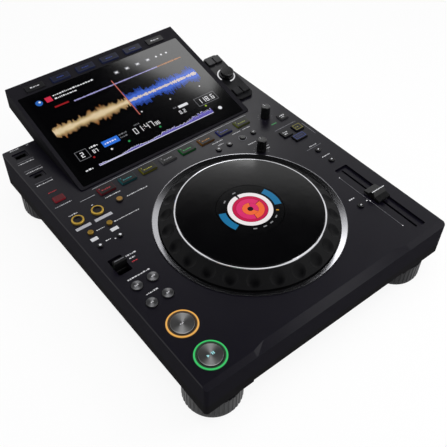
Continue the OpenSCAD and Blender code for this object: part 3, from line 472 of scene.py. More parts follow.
@dataclass(frozen=True)
class RingLit:
    """Round button with a lit metal ring between two radii."""

    name: str
    cap: str
    ring: str
    centre: Pair
    inner: float
    outer: float
    glow: float
    metallic: float = 0.8

    def material(self) -> Material:
        """Returns the finish: the ring lies between two distances from the axis."""
        g = Graph(self.name)
        x, y, _ = g.axes(g.local((*self.centre, 0.0)))
        radius = g.radius(x, y)
        inside = g.step(radius, self.inner - 0.25, self.inner + 0.25)
        share = g.times(inside, g.within(radius, self.outer))
        share = g.times(share, g.step(g.speckle(1.2), 0.1, 0.9, 0.8, 1.0))
        g.give(Base_Color=g.shade(share, linear(self.cap), linear(self.ring)))
        g.give(Emission_Color=g.shade(share, BLACK, linear(self.ring)))
        g.relief(g.speckle(0.25, 2.0), 0.12, 0.05)
        g.give(Metallic=g.times(share, self.metallic), Emission_Strength=self.glow)
        g.give(Roughness=0.3, Specular_IOR_Level=0.4)
        return g.material


@dataclass(frozen=True)
class TwinRings:
    """Two light rings in one piece, one behind the other, each in its own colour."""

    name: str
    front: str
    rear: str
    front_axis: Pair
    rear_axis: Pair
    inner: float
    outer: float

    def material(self) -> Material:
        """Returns the finish: a ring glows where its own axis is between the radii away."""
        g = Graph(self.name)
        apart = (self.rear_axis[1] - self.front_axis[1]) / 2
        x, y, _ = g.axes(g.local((self.front_axis[0], self.front_axis[1] + apart, 0.0)))
        radius = g.radius(x, g.reckon("SUBTRACT", g.reckon("ABSOLUTE", y), apart))
        inside = g.step(radius, self.inner - 0.3, self.inner + 0.2, 0.04, 1.0)
        outside = g.step(radius, self.outer - 0.2, self.outer + 0.3, 1.0, 0.04)
        colour = g.shade(g.step(y, -1.0, 1.0), linear(self.front), linear(self.rear))
        uneven = g.step(g.speckle(2.5), 0.2, 0.8, 0.85, 1.0)
        share = g.times(g.times(inside, outside), uneven)
        g.give(Emission_Color=g.shade(share, BLACK, colour), Emission_Strength=1.0)
        g.give(Base_Color=(0.02, 0.02, 0.02, 1), Roughness=0.35)
        return g.material


@dataclass(frozen=True)
class DotRow:
    """Two rows of small buttons: gold ones behind, black ones with a white dot in front."""

    name: str
    gold: str
    middle_x: float
    apart: float
    front_y: float
    split_y: float
    dot: float = 1.4
    cap: str = "0b0b0c"
    dot_light: str = "d0d0d4"

    def material(self) -> Material:
        """Returns the finish: gold past the split, and white near either front axis."""
        g = Graph(self.name)
        x, y, _ = g.axes(g.local((self.middle_x, self.front_y, 0.0)))
        away = g.reckon("SUBTRACT", g.reckon("ABSOLUTE", x), self.apart)
        dot = g.within(g.radius(away, y), self.dot)
        split = self.split_y - self.front_y
        behind = g.step(y, split - 0.5, split + 0.5)
        front = g.shade(dot, linear(self.cap), linear(self.dot_light))
        rear = g.mottled(linear(self.gold), 0.8, 0.7)
        g.give(Base_Color=g.shade(behind, front, rear), Metallic=g.times(behind, 0.7))
        g.relief(g.speckle(0.3, 2.0), 0.1, 0.05)
        g.give(Roughness=0.3, Specular_IOR_Level=0.4)
        return g.material


@dataclass(frozen=True)
class Glow:
    """Lit part of a picture, which may change colour away from an axis across the display."""

    name: str
    core: str
    edge: str = ""
    axis: float = 0.0
    reach: float = 0.0
    strength: float = 1.0
    gloss: float = 0.12
    specular: float = 0.5

    def material(self) -> Material:
        """Returns the finish: the colour goes from core on the axis to edge at reach."""
        g = Graph(self.name)
        dots = g.step(g.speckle(0.6, 1.0), 0.25, 0.75, 0.86, 1.0)
        core = light = linear(self.core)
        if self.edge:
            centre = DISPLAY_FACE.place(0.0, self.axis)
            _, y, _ = g.axes(g.local(centre, (1.0, self.reach, 1.0), DISPLAY_FACE.tilt))
            away = g.step(g.reckon("ABSOLUTE", y), 0.35, 1.0)
            light = g.shade(away, core, linear(self.edge))
        g.give(Emission_Color=g.shade(dots, BLACK, light), Emission_Strength=self.strength)
        g.give(Base_Color=(*scaled(core, 0.04), 1))
        g.give(Roughness=self.gloss, Specular_IOR_Level=self.specular)
        return g.material


@dataclass(frozen=True)
class Ink:
    """Printed paint, slightly uneven."""

    name: str
    colour: str
    cover: float = 0.85

    def material(self) -> Material:
        """Returns the finish: fine noise thins the paint here and there."""
        g = Graph(self.name)
        base = linear(self.colour)
        thin = g.step(g.speckle(0.5), 0.2, 0.8, self.cover, 1.0)
        g.give(Base_Color=g.shade(thin, scaled(base, 0.5), base))
        g.relief(g.speckle(0.3, 1.0), 0.1, 0.02)
        g.give(Roughness=0.55, Specular_IOR_Level=0.3)
        return g.material


Finish = Moulded | Dimpled | Turned | RimLit | RingLit | TwinRings | DotRow | Glow | Ink | Enum


class Print(Enum):
    """Printed paints."""

    WHITE = Ink("print white", "c9c9cc")
    GREY = Ink("print grey", "77777c")
    RED = Ink("print red", "b8323a")
    GREEN = Ink("print green", "3c7d4c")
    SILVER = Ink("print silver", "a8a8ad")


class Shell(Enum):
    """Plastics of the housing."""

    CASE = Moulded("case plastic", "0a0811", 0.4, 0.1, coat=0.5, side=0.95)
    TRAY = Moulded("tray plastic", "100f11", 0.5, 0.05, 0.5, side=0.9)
    HOUSING = Moulded("display housing plastic", "1c1b1f", 0.55, 0.04, side=0.8)
    COVER = Moulded("display back plastic", "111113", 0.48, 0.06, side=0.9)
    POD = Moulded("pod plastic", "121214", 0.3, 0.4, 0.4, 0.06)
    PANEL = Moulded("back panel plastic", "1a1a1c", 0.5, 0.1, 0.3)
    FOOT = Moulded("foot plastic", "17171a", 0.4, 0.2, 0.6, 0.08)


class Disc(Enum):
    """Lights of the round display."""

    RING = Glow("ring light", "efe9ea")
    CRIMSON = Glow("disc crimson", "c01c4a")
    MAGENTA = Glow("disc magenta", "d8306c")
    ORANGE = Glow("disc orange", "ee6a3a")
    DARK = Glow("disc dark", "2a0a18")
    ARC = Glow("arc blue", "1f6f9c")
    TICK = Glow("tick grey", "8a8a8c")
    AMBER = Glow("tick amber", "c08a2c")


class Shown(Enum):
    """Lights of the large display."""

    GROUND = Glow("display ground", "010102", gloss=0.14, specular=1.0)
    CREAM = Glow("wave cream", "f4cf92", "b8662a", WAVE_S, 12.0)
    BLUE = Glow("wave blue", "4468cc", "24449e", WAVE_S, 13.0)
    CORE = Glow("wave core", "f8e2b8")
    LILAC = Glow("overview lilac", "6a62b8")
    PALE = Glow("overview white", "d8d6ea")
    WARM = Glow("progress warm", "b5825c")
    PLAYHEAD = Glow("playhead", "d8776a")
    ICON = Glow("icon blue", "2a62b4")
    WHITE = Glow("sign white", "e4e4e8")
    ROSE = Glow("icon rose", "c8304a")
    RED = Glow("bar red", "8f1d22")
    GREY = Glow("sign grey", "77777c")
    PILL = Glow("pill blue", "2f6fd6")
    GREEN = Glow("dot green", "2f9a54")
    LIME = Glow("dot lime", "9ab83a")
    PROGRESS = Glow("progress lilac", "a9a4d8")


class Sign(Enum):
    """Lights of the signs on keys and buttons."""

    PLAY = Glow("play sign light", "a8ecef", strength=0.9, gloss=0.4)
    BROWSE = Glow("browse light", "d9d9dc")
    KEY_BLUE = Glow("key print blue", "33489c", strength=0.9, gloss=0.4)
    AMBER = Glow("key light amber", "8a8432", strength=0.8, gloss=0.4)
    BLUE = Glow("key light blue", "2c3c80", strength=0.8, gloss=0.4)
    FIELD = Glow("key field blue", "161d44", strength=0.8, gloss=0.4)


class Palette:
    """Keeps one material for each finish."""

    made: dict[str, Material] = {}

    @classmethod
    def of(cls, finish: Finish) -> Material:
        """Returns the finish's material, made on first use."""
        plain = finish.value if isinstance(finish, Enum) else finish
        if plain.name not in cls.made:
            cls.made[plain.name] = plain.material()
        return cls.made[plain.name]


def middle(node: str) -> Triple:
    """Returns the middle of a solid's top, in millimetres."""
    low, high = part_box(node)
    return ((low.x + high.x) / 2 / MM, (low.y + high.y) / 2 / MM, high.z / MM)


def half(node: str) -> Pair:
    """Returns half the width and depth of a solid, in millimetres."""
    low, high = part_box(node)
    return ((high.x - low.x) / 2 / MM, (high.y - low.y) / 2 / MM)


def dress(node: str, finish: Finish) -> None:
    """Gives a solid of the frame its finish."""
    material = Palette.of(finish)
    solid = FRAME["nodes"][node]
    if not solid.material_slots:
        solid.data.materials.append(material)
    for place in solid.material_slots:
        place.material = material
    log.info("solid %s: %s", node, material.name)


class Tiles:
    """Thin closed tiles on one field, gathered into one mesh.

    An ink is the finish that tiles get. A lift is how much higher they stand
    than the rest.
    """

    ARC_STEP = 5
    DISC_SIDES = 28
    DASH_WIDTHS = (0.5, 0.9, 1.4)
    DASH_HEIGHTS = (0.72, 1.0)
    DASH_GAP = 0.55
    MOST_DASHES = 60
    DIGIT_WIDTH = 0.52
    DIGIT_GAP = 0.22
    # The bars of each digit, named clockwise from the top, with g in the middle.
    DIGITS = {
        "0": "abcdef", "1": "bc", "2": "abged", "3": "abgcd", "4": "fgbc",
        "5": "afgcd", "6": "afgedc", "7": "abc", "8": "abcdefg", "9": "abcdfg",
    }

    def __init__(self, plane: Plane, low: float = -0.05, high: float = 0.06) -> None:
        """Starts an empty set of tiles between two heights over the field."""
        self.plane, self.low, self.high = plane, low, high
        self.points: list[np.ndarray] = []
        self.faces: list[list[int]] = []
        self.inks: list[Finish] = []
        self.count = 0

    def keep(self, points: np.ndarray, faces: list[list[int]], ink: Finish) -> None:
        """Adds points and the faces that count from them."""
        self.points.append(points)
        self.faces.extend([[i + self.count for i in face] for face in faces])
        self.inks.extend([ink] * len(faces))
        self.count += len(points)

    def boxes(
        self, x0: Side, x1: Side, y0: Side, y1: Side, ink: Finish = Print.WHITE, lift: float = 0.0
    ) -> None:
        """Adds upright boxes from arrays of their left, right, lower and upper sides."""
        sides = (np.atleast_1d(np.asarray(v, float)) for v in (x0, x1, y0, y1))
        x0, x1, y0, y1 = np.broadcast_arrays(*sides)
        flat = np.stack([np.stack(p, -1) for p in ((x0, y0), (x1, y0), (x1, y1), (x0, y1))], 1)
        low = np.concatenate([flat, np.full((*flat.shape[:2], 1), self.low)], 2)
        high = np.concatenate([flat, np.full((*flat.shape[:2], 1), self.high + lift)], 2)
        points = np.concatenate([low, high], 1).reshape(-1, 3)
        walls = [[i, (i + 1) % 4, (i + 1) % 4 + 4, i + 4] for i in range(4)]
        quads = np.array([[0, 3, 2, 1], [4, 5, 6, 7], *walls])
        faces = (np.arange(len(flat))[:, None, None] * 8 + quads).reshape(-1, 4)
        self.keep(points, faces.tolist(), ink)

    def bars(
        self, x: Side, width: float, y: float, down: Side, up: Side, ink: Finish, lift: float = 0.0
    ) -> None:
        """Adds bars of one width that reach down and up from the level line at y."""
        self.boxes(x, x + width, y - down, y + up, ink, lift)

    def ribbon(
        self, left: np.ndarray, right: np.ndarray, ink: Finish, ring: bool, lift: float
    ) -> None:
        """Adds a strip between two lines of points, with walls round it.

        Args:
            left: Points on the left, one row of two numbers each.
            right: The same number of points on the right.
            ink: Which finish it takes.
            ring: True if the end meets the start.
            lift: How much higher it stands than the rest.
        """
        k = len(left)
        top, low = np.full((k, 1), self.high + lift), np.full((k, 1), self.low)
        points = np.vstack([np.hstack([side, z]) for z in (low, top) for side in (left, right)])
        a = np.arange(k if ring else k - 1)
        b = (a + 1) % k
        bl, br, tl, tr = 0, k, 2 * k, 3 * k
        quads = [
            np.stack([tl + a, tr + a, tr + b, tl + b], 1),
            np.stack([bl + a, bl + b, br + b, br + a], 1),
            np.stack([tl + a, tl + b, bl + b, bl + a], 1),
            np.stack([tr + a, br + a, br + b, tr + b], 1),
        ]
        faces = np.vstack(quads).tolist()
        if not ring:
            e = k - 1
            faces += [[tl, bl, br, tr], [tl + e, tr + e, br + e, bl + e]]
        self.keep(points, faces, ink)

    def arc(
        self, centre: Pair, inner: float, outer: float, start: float = 0.0, end: float = 360.0,
        ink: Finish = Print.WHITE, lift: float = 0.0,
    ) -> None:
        """Adds a band round a centre: points at both radii over the angles, in degrees."""
        ring = end - start >= 360
        count = max(int((end - start) / self.ARC_STEP), 2) + (0 if ring else 1)
        angles = np.radians(np.linspace(start, end, count, endpoint=not ring))
        way = np.stack([np.cos(angles), np.sin(angles)], 1)
        self.ribbon(np.array(centre) + way * inner, np.array(centre) + way * outer, ink, ring, lift)

    def disc(
        self, centre: Pair, radius: float, ink: Finish = Print.WHITE, lift: float = 0.0
    ) -> None:
        """Adds a round tile as a prism of many sides."""
        angles = np.linspace(0, 2 * math.pi, self.DISC_SIDES, endpoint=False)
        way = np.stack([np.cos(angles), np.sin(angles)], 1)
        self.prism(np.array(centre) + radius * way, ink, lift)

    def prism(self, outline: np.ndarray, ink: Finish = Print.WHITE, lift: float = 0.0) -> None:
        """Adds a tile from its outline, which runs anticlockwise."""
        k = len(outline)
        low, high = np.full((k, 1), self.low), np.full((k, 1), self.high + lift)
        points = np.vstack([np.hstack([outline, low]), np.hstack([outline, high])])
        a = np.arange(k)
        b = (a + 1) % k
        sides = np.stack([a, b, b + k, a + k], 1).tolist()
        self.keep(points, [list(range(k))[::-1], list(range(k, 2 * k)), *sides], ink)

    def frame(self, x0: float, x1: float, y0: float, y1: float, line: float, ink: Finish) -> None:
        """Adds the four sides of an open rectangle, drawn with a line of some width."""
        self.boxes(
            [x0, x0, x0, x1 - line],
            [x1, x1, x0 + line, x1],
            [y0, y1 - line, y0 + line, y0 + line],
            [y0 + line, y1, y1 - line, y1 - line],
            ink,
        )

    def caption(
        self, x0: float, x1: float, y: float, height: float,
        ink: Finish = Print.WHITE, lift: float = 0.0,
    ) -> None:
        """Adds a row of plain dashes in the place of a printed word.

        Args:
            x0: Left end.
            x1: Right end.
            y: Middle of the row.
            height: Height of a letter.
            ink: Which finish it takes.
            lift: How much higher it stands than the rest.
        """
        rng = np.random.default_rng(int(abs(x0 * 31 + y * 17) * 10) + 5)
        widths = rng.choice(self.DASH_WIDTHS, self.MOST_DASHES) * height
        ends = np.cumsum(widths + self.DASH_GAP * height)
        starts = x0 + np.concatenate([[0], ends[:-1]])
        fits = starts + widths <= x1
        starts, widths = starts[fits], widths[fits]
        tall = rng.choice(self.DASH_HEIGHTS, len(starts)) * height
        foot = y - height / 2
        self.boxes(starts, starts + widths, foot, foot + tall, ink, lift)

    def number(
        self, text: str, x: float, y: float, height: float, line: float, ink: Finish
    ) -> float:
        """Adds plain digits made of bars, as a counter shows them.

        Args:
            text: Digits, with : and . between them.
            x: Left end.
            y: Lower side.
            height: Height of a digit.
            line: Width of a bar.
            ink: Which finish they take.

        Returns:
            The right end of the row.
        """
        w, h = height * self.DIGIT_WIDTH, height
        bars = {
            "a": (0, w, h - line, h),
            "b": (w - line, w, h / 2, h),
            "c": (w - line, w, 0, h / 2),
            "d": (0, w, 0, line),
            "e": (0, line, 0, h / 2),
            "f": (0, line, h / 2, h),
            "g": (0, w, (h - line) / 2, (h + line) / 2),
        }
        for sign in text:
            if sign in self.DIGITS:
                part = np.array([bars[b] for b in self.DIGITS[sign]])
                self.boxes(x + part[:, 0], x + part[:, 1], y + part[:, 2], y + part[:, 3], ink)
                x += w
            else:
                foot = y + h * np.array([0.25, 0.62] if sign == ":" else [0.0])
                self.boxes(x, x + line, foot, foot + line, ink)
                x += line
            x += height * self.DIGIT_GAP
        return x

    def build(self, name: str, body: str, slot: str | None = None) -> None:
        """Makes the mesh, with one material for each ink, and lets it ride on a body.

        Args:
            name: Name of the piece.
            body: The body it moves with.
            slot: Not used.
        """
        places = {ink: place for place, ink in enumerate(dict.fromkeys(self.inks))}
        mesh = bpy.data.meshes.new(name)
        mesh.from_pydata(self.plane.lay(np.vstack(self.points)), [], self.faces)
        for ink in places:
            mesh.materials.append(Palette.of(ink))
        indices = np.array([places[ink] for ink in self.inks], np.int32)
        mesh.polygons.foreach_set("material_index", indices)
        mesh.update()
        piece = bpy.data.objects.new(name, mesh)
        bpy.context.scene.collection.objects.link(piece)
        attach(piece, body)
        log.info("piece %s: %d faces, rides on %s", name, len(mesh.polygons), body)


@dataclass
class Housing:
    """The case halves, feet, display housing and what stands still in them."""

    def dress(self) -> None:
        """Gives every fixed solid its finish."""
        tin = {"specular": 0.5, "relief": 0.1, "mottling": 0.1, "metallic": 1.0}
        zinc = tin | {"mottling": 0.12}
        lens = {"relief": 0.01, "mottling": 0.1}
        board = {"roughness": 0.35, "specular": 0.5, "grain": 1.6, "relief": 0.3, "mottling": 0.3}
        ring = {"roughness": 0.2, "pitch": 0.6, "spread": 0.3, "relief": 0.01, "streaks": 0.03}
        finishes = {
            "top_case": Shell.CASE,
            "bottom_case": Shell.TRAY,
            "screen_bezel": Shell.HOUSING,
            "screen_back_cover": Shell.COVER,
            "browse_pod": Shell.POD,
            "rear_panel": Shell.PANEL,
            "feet": Shell.FOOT,
            "jog_well_ring": Turned("satin aluminium ring", "b8b8bc", JOG_AXIS, **ring),
            "jog_spindle": Turned("turned steel spindle", "8d8d90", JOG_AXIS),
            "jog_display": Moulded("black lens", "050506", 0.12, 0.4, grain=2.0, **lens),
            "screen_glass": Moulded("display glass", "030304", 0.14, 1.0, grain=3.0, **lens),
            "lcd_module": Moulded("display module tin", "8a8a8c", 0.35, grain=0.5, **tin),
            "media_sockets": Moulded("socket tin", "2c2c2f", 0.4, grain=0.4, **tin),
            "rear_jacks": Moulded(
                "gilded socket", "b09a5c", 0.28, grain=0.4, **tin | {"relief": 0.08}
            ),
            "power_inlet": Moulded("inlet nylon", "111112", 0.38, 0.4, grain=0.3),
            "main_board": Moulded("main board lacquer", "123a24", **board),
            "panel_board": Moulded("control board lacquer", "11381f", **board),
            "power_supply": Moulded("zinc-plated can", "8f9092", 0.38, grain=1.5, **zinc),
            "fader_unit": Moulded("fader frame steel", "7e7f82", 0.4, grain=1.2, **zinc),
            "case_screws": Moulded(
                "blackened screw", "2a2a2c", 0.35, grain=0.3, **tin | {"metallic": 0.8}
            ),
        }
        for node, finish in finishes.items():
            dress(node, finish)


@dataclass
class JogWheel:
    """The dimpled wheel, its top plate and trim, and the display in its middle."""

    face_z: float = 91.4
    skirt_low: Pair = (98.1, 77.0)
    skirt_high: Pair = (82.3, 88.5)
    hub_r: float = 3.0
    # Inner and outer radius, first and last angle, light and lift of each band. Angles
    # are counted from the right.
    bands: tuple[tuple, ...] = (
        (19.5, 24.5, 0, 360, Disc.RING),
        (15.5, 19.2, 0, 360, Disc.CRIMSON),
        (9.0, 15.3, 15, 255, Disc.MAGENTA),
        (9.0, 15.3, 258, 372, Disc.ORANGE),
        (3.2, 8.8, 60, 300, Disc.ORANGE),
        (3.2, 8.8, 303, 417, Disc.MAGENTA),
        (27.2, 34.8, -24, 24, Disc.ARC),
        (27.2, 34.8, 156, 204, Disc.ARC),
        *((28.4, 29.8, start, start + 8, Disc.TICK) for start in (84, 118, 236, 258, 276, 296)),
        (27.4, 30.4, 318, 321, Disc.AMBER),
        (19.5, 24.5, 86, 92, Disc.DARK, ABOVE),
    )

    def dress(self) -> None:
        """Gives the turning solids their finish."""
        # The third colour, 020203, is painted shade in the dimples.
        skirt = Dimpled(
            "wheel plastic", "0e0e0f", "020203", JOG_AXIS, self.skirt_low, self.skirt_high
        )
        plate = {"roughness": 0.1, "specular": 0.65, "grain": 6.0, "relief": 0.01}
        chrome = {"roughness": 0.08, "pitch": 0.6, "spread": 0.2, "relief": 0.01, "streaks": 0.04}
        dress("jog_platter", skirt)
        dress("jog_top_plate", Moulded("glossy black plate", "040405", mottling=0.15, **plate))
        dress("jog_trim_ring", Turned("chrome trim", "dcdce0", JOG_AXIS, **chrome))

    def picture(self) -> None:
        """Makes the round display's lit picture."""
        t = Tiles(Plane((*JOG_AXIS, self.face_z)), -0.02, 0.05)
        for band in self.bands:
            t.arc((0.0, 0.0), *band)
        t.disc((0.0, 0.0), self.hub_r, Disc.DARK)
        t.build("jog_picture", FIXED, "jog_display")

    def build(self) -> None:
        """Dresses the wheel and makes its picture."""
        self.dress()
        self.picture()


@dataclass
class DisplayPicture:
    """What the large display shows: two waveforms, counters and small signs.

    Places are counted across from the middle of the face and up it from its front edge.
    """

    seed: int = 11
    ground: tuple[float, float, float, float] = (-111, 109, 17, 148)
    wave: Pair = (-106.0, 101.0)
    playhead: float = -2.5
    playhead_s: Pair = (62, 127)
    overview: Pair = (-86.0, 80.0)
    overview_s: float = 20.0
    progress: Pair = (-60.0, 100.0)
    progress_s: float = 120.0
    warm_from: float = 62.0
    # Left, right, lower and upper side, and light of each block.
    blocks: tuple[tuple, ...] = (
        (-89.2, -81.0, 132.6, 140.6, Shown.ROSE),
        (-85.0, -66.0, 121.0, 123.4, Shown.RED),
        (-67, -45, 39.5, 48.5, Shown.PILL),
        (46, 60, 46.5, 50.5, Shown.WHITE),
    )
    # Left ends of the menu's boxes.
    menu: Row = (8.0, 24.0, 40.0, 56.0)
    # Place, radius, light and lift of each dot.
    dots: tuple[tuple, ...] = (
        ((-98, 136.5), 4.4, Shown.ICON),
        ((-96.8, 137.6), 1.5, Shown.WHITE, ABOVE),
        *(((x, 136), 1.4, Shown.WHITE) for x in (72.0, 80.0, 88.0)),
        *(((x, 65), 1.0, Shown.WHITE) for x in (2.0, 45.0, 91.0)),
        ((-85, 33.6), 1.35, Shown.RED),
        ((-61, 33.6), 1.35, Shown.WHITE),
        ((-37, 33.6), 1.35, Shown.GREEN),
        ((8, 33.6), 1.35, Shown.GREEN),
        ((78, 33.6), 1.35, Shown.LIME),
        ((92, 22), 2.6, Shown.WHITE),
    )
    # Left and right end, place up the face, letter height, light and lift of each word.
    words: tuple[tuple, ...] = (
        (-78, -20, 139.8, 2.2, Shown.WHITE),
        (-78, -46, 134.2, 2.2, Shown.WHITE),
        (-83, -72, 48, 2.2, Shown.WHITE),
        (-104, -92, 21, 2.2, Shown.WHITE),
        (-64.5, -48, 44, 2.0, Shown.PALE, ABOVE),
        (-43, -30, 47.5, 1.9, Shown.GREY),
        (-43, -32, 43, 1.9, Shown.GREY),
        (-19, -10, 51, 1.7, Shown.GREY),
        (39, 45, 50, 1.8, Shown.GREY),
    )
    # Digits, left end, lower side, digit height and bar width of each counter.
    counters: tuple[tuple, ...] = (
        ("2", -96.8, 39.2, 7.6, 0.9),
        ("07", -82, 38.5, 5.0, 0.7),
        ("0.2", 42, 37.5, 5.6, 0.7),
        ("118.6", 73.5, 39.0, 7.6, 0.85),
    )
    # Left and right side of the frames round two counters.
    frames: tuple[Pair, ...] = ((-102, -87), (70, 101))

    def waves(self, t: Tiles) -> None:
        """Adds the bars of both waveforms; a bar's height is a slow swell times seeded noise."""
        rng = np.random.default_rng(self.seed)
        x = np.arange(self.wave[0], self.playhead - 0.5, 1.9)
        swell = 5.8 + 1.6 * np.sin(x / 9.0) + 0.8 * np.sin(x / 2.3)
        h = swell * rng.uniform(0.9, 1.7, len(x)) + 4.0 * rng.uniform(0, 1, len(x)) ** 3
        t.bars(x, 0.85, WAVE_S, h, h * rng.uniform(0.8, 1.05, len(x)), Shown.CREAM)
        core = swell * rng.uniform(0.4, 0.75, len(x))
        t.bars(x, 1.35, WAVE_S, core, core, Shown.CORE, 0.01)
        x = np.arange(self.playhead + 1.0, self.wave[1], 1.7)
        swell = 11.0 + 1.8 * np.sin(x / 7.0)
        h = swell * rng.uniform(0.75, 1.25, len(x)) + 3.0 * rng.uniform(0, 1, len(x)) ** 3
        t.bars(x, 1.0, WAVE_S, h, h * rng.uniform(0.8, 1.1, len(x)), Shown.BLUE)
        t.bars(x + 1.0, 0.7, WAVE_S, h * 0.6, h * 0.6, Shown.BLUE, 0.01)
        core = 1.9 * rng.uniform(0.3, 1.5, len(x))
        t.bars(x, 1.1, WAVE_S, core, core, Shown.CORE, 0.02)
        left, right = self.overview
        x = np.arange(left, right, 0.8)
        rise = 0.8 + 6.0 * ((x - left) / (right - left)) ** 1.4 + 1.2 * np.sin(x / 8.0)
        top = self.overview_s + np.clip(rise * rng.uniform(0.55, 1.2, len(x)), 0.5, 10.0)
        t.boxes(x, x + 0.68, self.overview_s, top, Shown.LILAC)
        t.boxes(x, x + 0.68, top, top + 0.7, Shown.PALE, ABOVE)
        t.boxes(left, right, self.overview_s - 0.7, self.overview_s + 0.2, Shown.PALE, ABOVE)
        x = np.arange(*self.progress, 0.7)
        h = 0.5 + rng.uniform(0, 1, len(x)) ** 2
        warm = x > self.warm_from
        for part, ink in ((~warm, Shown.PROGRESS), (warm, Shown.WARM)):
            t.bars(x[part], 0.6, self.progress_s, h[part], h[part], ink)

    def signs(self, t: Tiles) -> None:
        """Adds counters, icons, boxes and dots."""
        t.boxes(self.playhead - 0.45, self.playhead + 0.45, *self.playhead_s, Shown.PLAYHEAD, 0.04)
        for block in self.blocks:
            t.boxes(*block)
        for x in self.menu:
            t.boxes(x, x + 6.0, 133.6, 138.6, Shown.GREY)
            t.boxes(x + 1.2, x + 4.8, 135.0, 137.2, Shown.WHITE, ABOVE)
        for dot in self.dots:
            t.disc(*dot)
        for word in self.words:
            t.caption(*word)
        for counter in self.counters:
            t.number(*counter, Shown.WHITE)
        end = t.number("01:47", -24, 38.0, 9.0, 0.75, Shown.WHITE)
        t.number("36", end, 38.0, 5.0, 0.65, Shown.WHITE)
        for left, right in self.frames:
            t.frame(left, right, 36, 50, 0.55, Shown.GREY)

    def build(self) -> None:
        """Makes the dark ground and the lit picture on the glass."""
        ground = Tiles(DISPLAY_FACE, -0.12, -0.04)
        ground.boxes(*self.ground, Shown.GROUND)
        ground.build("display_ground", FIXED, "display_panel")
        t = Tiles(DISPLAY_FACE, -0.06, 0.02)
        self.waves(t)
        self.signs(t)
        t.build("display_picture", FIXED, "display_panel")


@dataclass
class DeckPrint:
    """Printed words, lines and blocks on the deck."""

    z: float = 77.0
    # Left and right end, place up the deck, letter height, and ink where it isn't white.
    words: tuple[tuple, ...] = (
        (-151, -125, -82.5, 1.7), (-146, -131, -108.0, 1.7), (-137, -123, -54.5, 1.7),
        (-134, -126, -59.5, 1.5), (-140, -132, -24.0, 1.4), (-140, -130, -5.5, 1.3),
        (-118, -85, -5.5, 1.5), (-153, -142, 30.5, 1.5), (-125, -120, 30.5, 1.5),
        (-86, -57, 19.0, 1.5), (-107, -85, 31.0, 1.4), (-158, -137, 93.5, 1.3),
        (-158, -137, 119.5, 1.3), (-158, -137, 138.0, 1.3), (-155, -143, 166.0, 1.6),
        (-134, -129, 166.0, 1.6), (44, 61, 31.5, 1.3), (75, 88, 31.5, 1.3),
        (91, 103, 31.5, 1.3), (48, 57, 25.5, 1.2), (78, 92, 4.5, 1.3),
        (90, 98, -10.0, 1.2), (90, 96, -14.0, 1.2), (134, 145, -43.5, 1.2),
        (133, 146, -66.5, 1.3), (105, 115, -137.5, 1.5),
        (-134, -125, -64.5, 1.6, Print.RED), (-153, -141, 75.5, 1.2, Print.RED),
        (-158, -137, 50.5, 1.4, Print.SILVER), (121, 155, 4.5, 1.2, Print.GREY),
    )
    # Left, right, lower and upper side, and ink of each line or block.
    blocks: tuple[tuple, ...] = (
        (-152.0, -144.0, -17.0, -12.2, Print.WHITE),
        (-128.0, -119.0, -17.0, -12.2, Print.WHITE),
        (-157.0, -139.0, 5.4, 9.6, Print.SILVER),
        (-134.0, -113.0, 5.4, 9.6, Print.SILVER),
        (-132, -113, 42.2, 42.8, Print.SILVER),
        (-111, 113, 51.7, 52.2, Print.SILVER),
        (-158, -137, 97.25, 97.75, Print.GREY),
        (-158, -137, 123.25, 123.75, Print.GREY),
        (-158, -137, 141.25, 141.75, Print.GREY),
        (126, 134, 15.6, 17.2, Print.GREEN),
        (158.2, 158.8, -28.5, -3.5, Print.GREY),
        (127, 150, -46.8, -46.3, Print.GREY),
        (123.3, 123.6, -199.0, -105.0, Print.GREY),
    )
    # Place, radius, ink and lift of each dot; the last three lie on the fader's line.
    dots: tuple[tuple, ...] = (
        ((-130.2, -27.0), 0.8),
        ((121, -149.3), 0.9),
        ((123.45, -199.5), 0.7, Print.WHITE, ABOVE),
        ((123.45, -104.5), 0.7, Print.WHITE, ABOVE),
        ((123.5, -152.0), 0.8, Print.WHITE, ABOVE),
    )
    button_ring: tuple[Pair, float, float] = ((81, 18.993), 4.6, 5.1)
    knobs: tuple[Pair, ...] = ((84.0, -12.507), (130.0, 33.493))
    knob_scale: Pair = (8.3, 9.4)
    knob_turns: range = range(-140, 141, 28)
    half_tick: float = 1.8

    def build(self) -> None:
        """Makes the printed marks as one piece."""
        t = Tiles(Plane((0.0, 0.0, self.z)))
        for word in self.words:
            t.caption(*word)
        for block in self.blocks:
            t.boxes(*block)
        for dot in self.dots:
            t.disc(*dot)
        t.arc(*self.button_ring, ink=Print.GREY)
        for turn in self.knob_turns:
            way = 90 - turn
            for knob in self.knobs:
                ends = (way - self.half_tick, way + self.half_tick)
                t.arc(knob, *self.knob_scale, *ends, Print.GREY)
        t.build("deck_print", FIXED)


